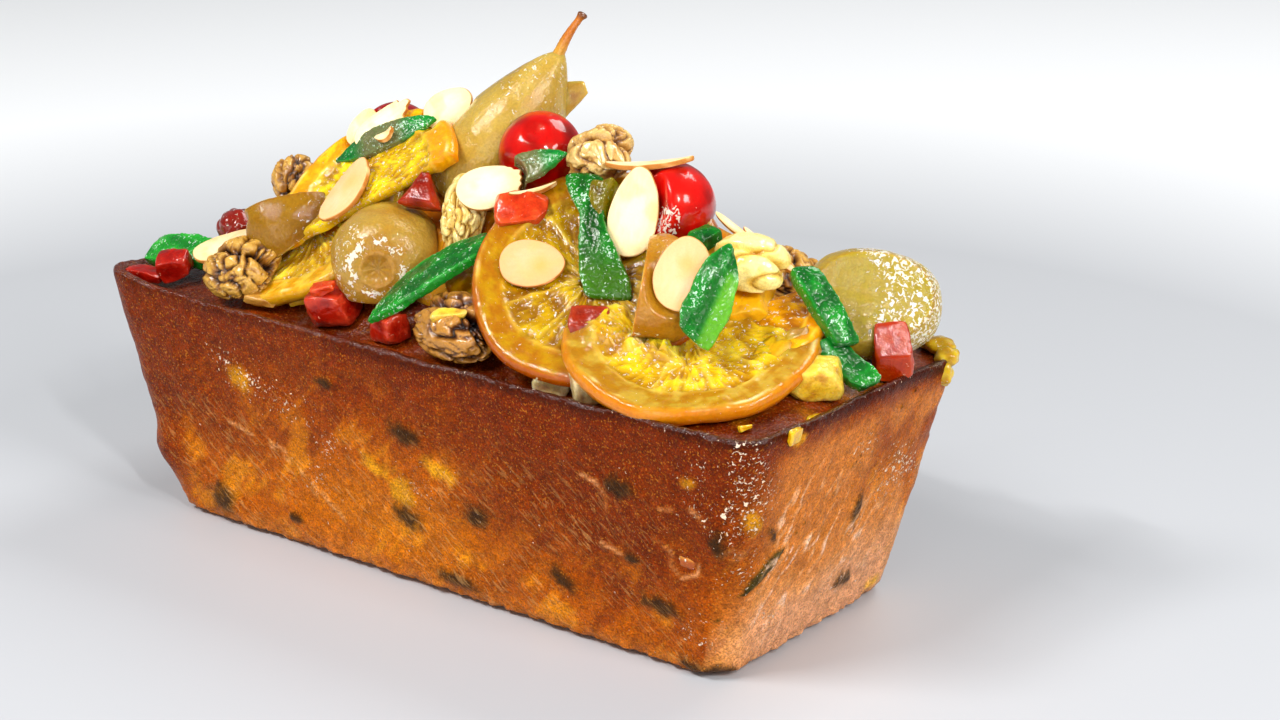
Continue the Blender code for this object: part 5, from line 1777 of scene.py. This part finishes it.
# %% Chips of fruit and nut
YELLOW_PEEL = ((214, 160, 16), (236, 196, 70))
GOLDEN_PEEL = ((226, 160, 12), (240, 186, 36))
NUT_CHIP = ((176, 120, 40), (214, 166, 84))
OLIVE_GREEN = ((104, 92, 4), (128, 114, 14))
CHIPS = (
    ("salmon_chip", (-30.6, -38.2, 74.0), (20, 20, -20), (6.5, 4, 3, 0.4), SALMON, "red_fruit"),
    ("pale_chip", (-45.6, -31.5, 67.2), (30, 10, 0), (6, 4.5, 3.5, 0.2), YELLOW_PEEL, "pale_fruit"),
    ("green_chip", (61, -3, 95.2), (70, 20, -20), (8, 6, 4, 0.2), EMERALD, "green_fruit"),
    ("nut_chip_long", (-53.5, -37.2, 66.3), (8, -4, -20), (10, 3.2, 2.4, 0.3), NUT_CHIP, "walnut"),
    ("nut_chip_curl", (11.5, -38.6, 75.6), (30, 8, -20), (8.5, 3.2, 2.6, 0.3), CITRON, "walnut"),
    ("peel_chip_corner", (95.0, -33.0, 64.0), (50, 8, 15), (3.2, 2.2, 1.6, 0.5), YELLOW_PEEL, "orange"),
    ("peel_chip_wall", (106.1, -29.8, 63.6), (95, 0, 80), (4.6, 3.8, 1.6, 0.1), YELLOW_PEEL, "orange"),
    ("olive_side_of_strip", (39.6, -13.6, 99.4), (-50, -58, -30), (17, 8.5, 2.0, 0.1), OLIVE_GREEN,
     "green_fruit"),
    ("flap_of_pear", (2.6, 16.4, 117.0), (40, 26, -72), (13, 12, 2.2, 0.7), HONEY, "pear"),
    ("golden_peel_by_fold", (67.5, -7, 82.5), (30, 0, -32), (25, 17, 8, 0.1), GOLDEN_PEEL, "orange"),
)
CHIP_FINISHES = {"red_fruit": red_finish, "pale_fruit": pale_finish, "green_fruit": green_finish,
                 "walnut": walnut_finish, "orange": orange_finish, "pear": pear_finish}
for slot, finish in CHIP_FINISHES.items():
    shapes = [cube(centre, turn, sizes, seed, tints[:2])
              for seed, (name, centre, turn, sizes, tints, kind) in enumerate(CHIPS, start=30)
              if kind == slot]
    piece = join_parts(f"chips_of_{slot}", shapes, finish, slot, 0.28)
    print(piece.name, len(shapes))

# %% [markdown]
# ## Drops of syrup
#
# Thick syrup has run to the rim and set there in drops, and one flat brown drop sits on the front
# wall. A drop is a small globe with lumps. Each row gives its middle, its three radii and its
# tints.

# %% Drops of syrup
DROP_ROWS = 26
DROP_COLUMNS = 36
SYRUP = ((176, 132, 14), (214, 178, 44))
BROWN_SYRUP = ((168, 80, 14), (206, 126, 50))
DROPS = (
    ((100.5, 41.5, 64.6), (4.2, 3.4, 2.2), SYRUP),
    ((104.0, 39.0, 63.0), (3.2, 3.0, 2.6), SYRUP),
    ((105.2, 36.5, 59.6), (2.0, 2.2, 3.0), SYRUP),
    ((97.0, 43.0, 64.0), (3.6, 2.4, 1.8), SYRUP),
    ((84.6, -40.7, 31.4), (3.0, 0.7, 2.0), BROWN_SYRUP),
    ((103.0, -16.0, 62.8), (2.4, 2.6, 1.2), SYRUP),
)
drops = []
for number, (centre, radii, tints) in enumerate(DROPS):
    ball = globe(DROP_ROWS, DROP_COLUMNS)
    shape = ball * radii * (1.0 + 0.22 * lumps(ball, 0.7, number + 120))[:, None]
    # The brown drop is painted lighter towards its top, a painted highlight; the others vary at random.
    lit = shape[:, 2] if tints is BROWN_SYRUP else lumps(shape, 2.0, number + 130)
    paint = mix(*tints, soft_step(-0.3, 0.5, lit))
    drops.append((shape + centre, grid_faces(DROP_ROWS, DROP_COLUMNS), paint))
join_parts("syrup_drops", drops, orange_finish, "orange", 0.5)
print("drops:", len(drops))

# %% [markdown]
# ## Floor
#
# The cake stands on a plain pale floor. It is painted grey round the cake and white further away, as
# painted light that makes the far floor look brightly lit.

# %% Floor
FLOOR_RADIUS = 4.0
FLOOR_GREY = (0.50, 0.51, 0.53, 1.0)
FLOOR_LIT_WHITE = (0.96, 0.97, 0.98, 1.0)

bpy.ops.mesh.primitive_circle_add(vertices=96, radius=FLOOR_RADIUS, fill_type="NGON",
                                  location=(0, 0, 0))
floor = bpy.context.object
floor.name = "pale_floor"
floor_finish, floor_tree, floor_shader = new_material("pale_floor")
from_cake = floor_tree.nodes.new("ShaderNodeVectorMath")
from_cake.operation = "LENGTH"
floor_tree.links.new(on_piece(floor_tree), from_cake.inputs[0])
lit_far_share = ramp(floor_tree, from_cake.outputs["Value"], 0.30, 0.50)
floor_tone = floor_tree.nodes.new("ShaderNodeMix")
floor_tone.data_type = "RGBA"
floor_tone.inputs[6].default_value = FLOOR_GREY
floor_tone.inputs[7].default_value = FLOOR_LIT_WHITE
floor_tree.links.new(lit_far_share, floor_tone.inputs[0])
floor_tree.links.new(floor_tone.outputs[2], floor_shader.inputs["Base Color"])
floor_shader.inputs["Roughness"].default_value = 0.5
floor.data.materials.append(floor_finish)
print("floor radius:", FLOOR_RADIUS, "m")

# %% [markdown]
# ## Lamps
#
# Soft lamps stand all round: one up and to the left, one to the right, one behind and a low one in
# front that lights the walls. Two narrow lamps put sparkles in the syrup. A weak white surround
# keeps the shadows open.

# %% Lamps and surround
world = bpy.data.worlds.new("white_room")
bpy.context.scene.world = world
world.use_nodes = True
set_sockets(world.node_tree.nodes["Background"], {"Color": (0.95, 0.98, 1.0, 1.0), "Strength": 0.22})


def lamp(name, place, aim, width, height, watts):
    """A soft rectangular lamp that looks at its aim."""
    light = bpy.data.lights.new(name, "AREA")
    light.shape = "RECTANGLE"
    light.size = width
    light.size_y = height
    light.energy = watts
    holder = bpy.data.objects.new(name, light)
    holder.location = place
    holder.rotation_mode = "QUATERNION"
    direction = Vector(aim) - Vector(place)
    holder.rotation_quaternion = direction.to_track_quat("-Z", "Y")
    bpy.context.scene.collection.objects.link(holder)


CAKE_MIDDLE = (0.01, 0.0, 0.07)
LAMPS = (
    ("window", (-0.50, -0.75, 1.05), 0.35, 0.35, 9.8),
    ("side_window", (1.15, -0.15, 0.75), 0.40, 0.40, 9.2),
    ("top_fill", (0.15, 0.75, 1.05), 0.50, 0.50, 6.5),
    ("low_fill", (0.35, -1.20, 0.30), 0.60, 0.60, 3.4),
    ("glint_left", (-0.15, -0.75, 0.95), 0.24, 0.03, 4.2),
    ("glint_right", (0.75, -0.50, 0.75), 0.03, 0.24, 4.2),
)
for name, place, width, height, watts in LAMPS:
    lamp(name, place, CAKE_MIDDLE, width, height, watts)
bpy.context.scene.view_settings.view_transform = "Standard"
print("lamps:", len(LAMPS))

# %% [markdown]
# ## Camera
#
# The camera looks down at the front and right walls, as in the photograph. Its angles, distance
# and lens come from fitting the loaf's edges to the picture.

# %% Camera
CAMERA_AIM = Vector((39.7, 0.0, 59.4)) * MM
CAMERA_DISTANCE = 667.0 * MM
CAMERA_TURN = math.radians(37.4)
CAMERA_RISE = math.radians(19.1)
SENSOR_WIDTH = 36.0
LENS = 75.94

toward = Vector((math.sin(CAMERA_TURN) * math.cos(CAMERA_RISE),
                 -math.cos(CAMERA_TURN) * math.cos(CAMERA_RISE), math.sin(CAMERA_RISE)))
camera_data = bpy.data.cameras.new("camera")
camera_data.sensor_width = SENSOR_WIDTH
camera_data.lens = LENS
camera = bpy.data.objects.new("camera", camera_data)
camera.location = CAMERA_AIM + toward * CAMERA_DISTANCE
camera.rotation_mode = "QUATERNION"
camera.rotation_quaternion = (-toward).to_track_quat("-Z", "Y")
bpy.context.scene.collection.objects.link(camera)
bpy.context.scene.camera = camera
print("camera at", in_metres(camera.location))
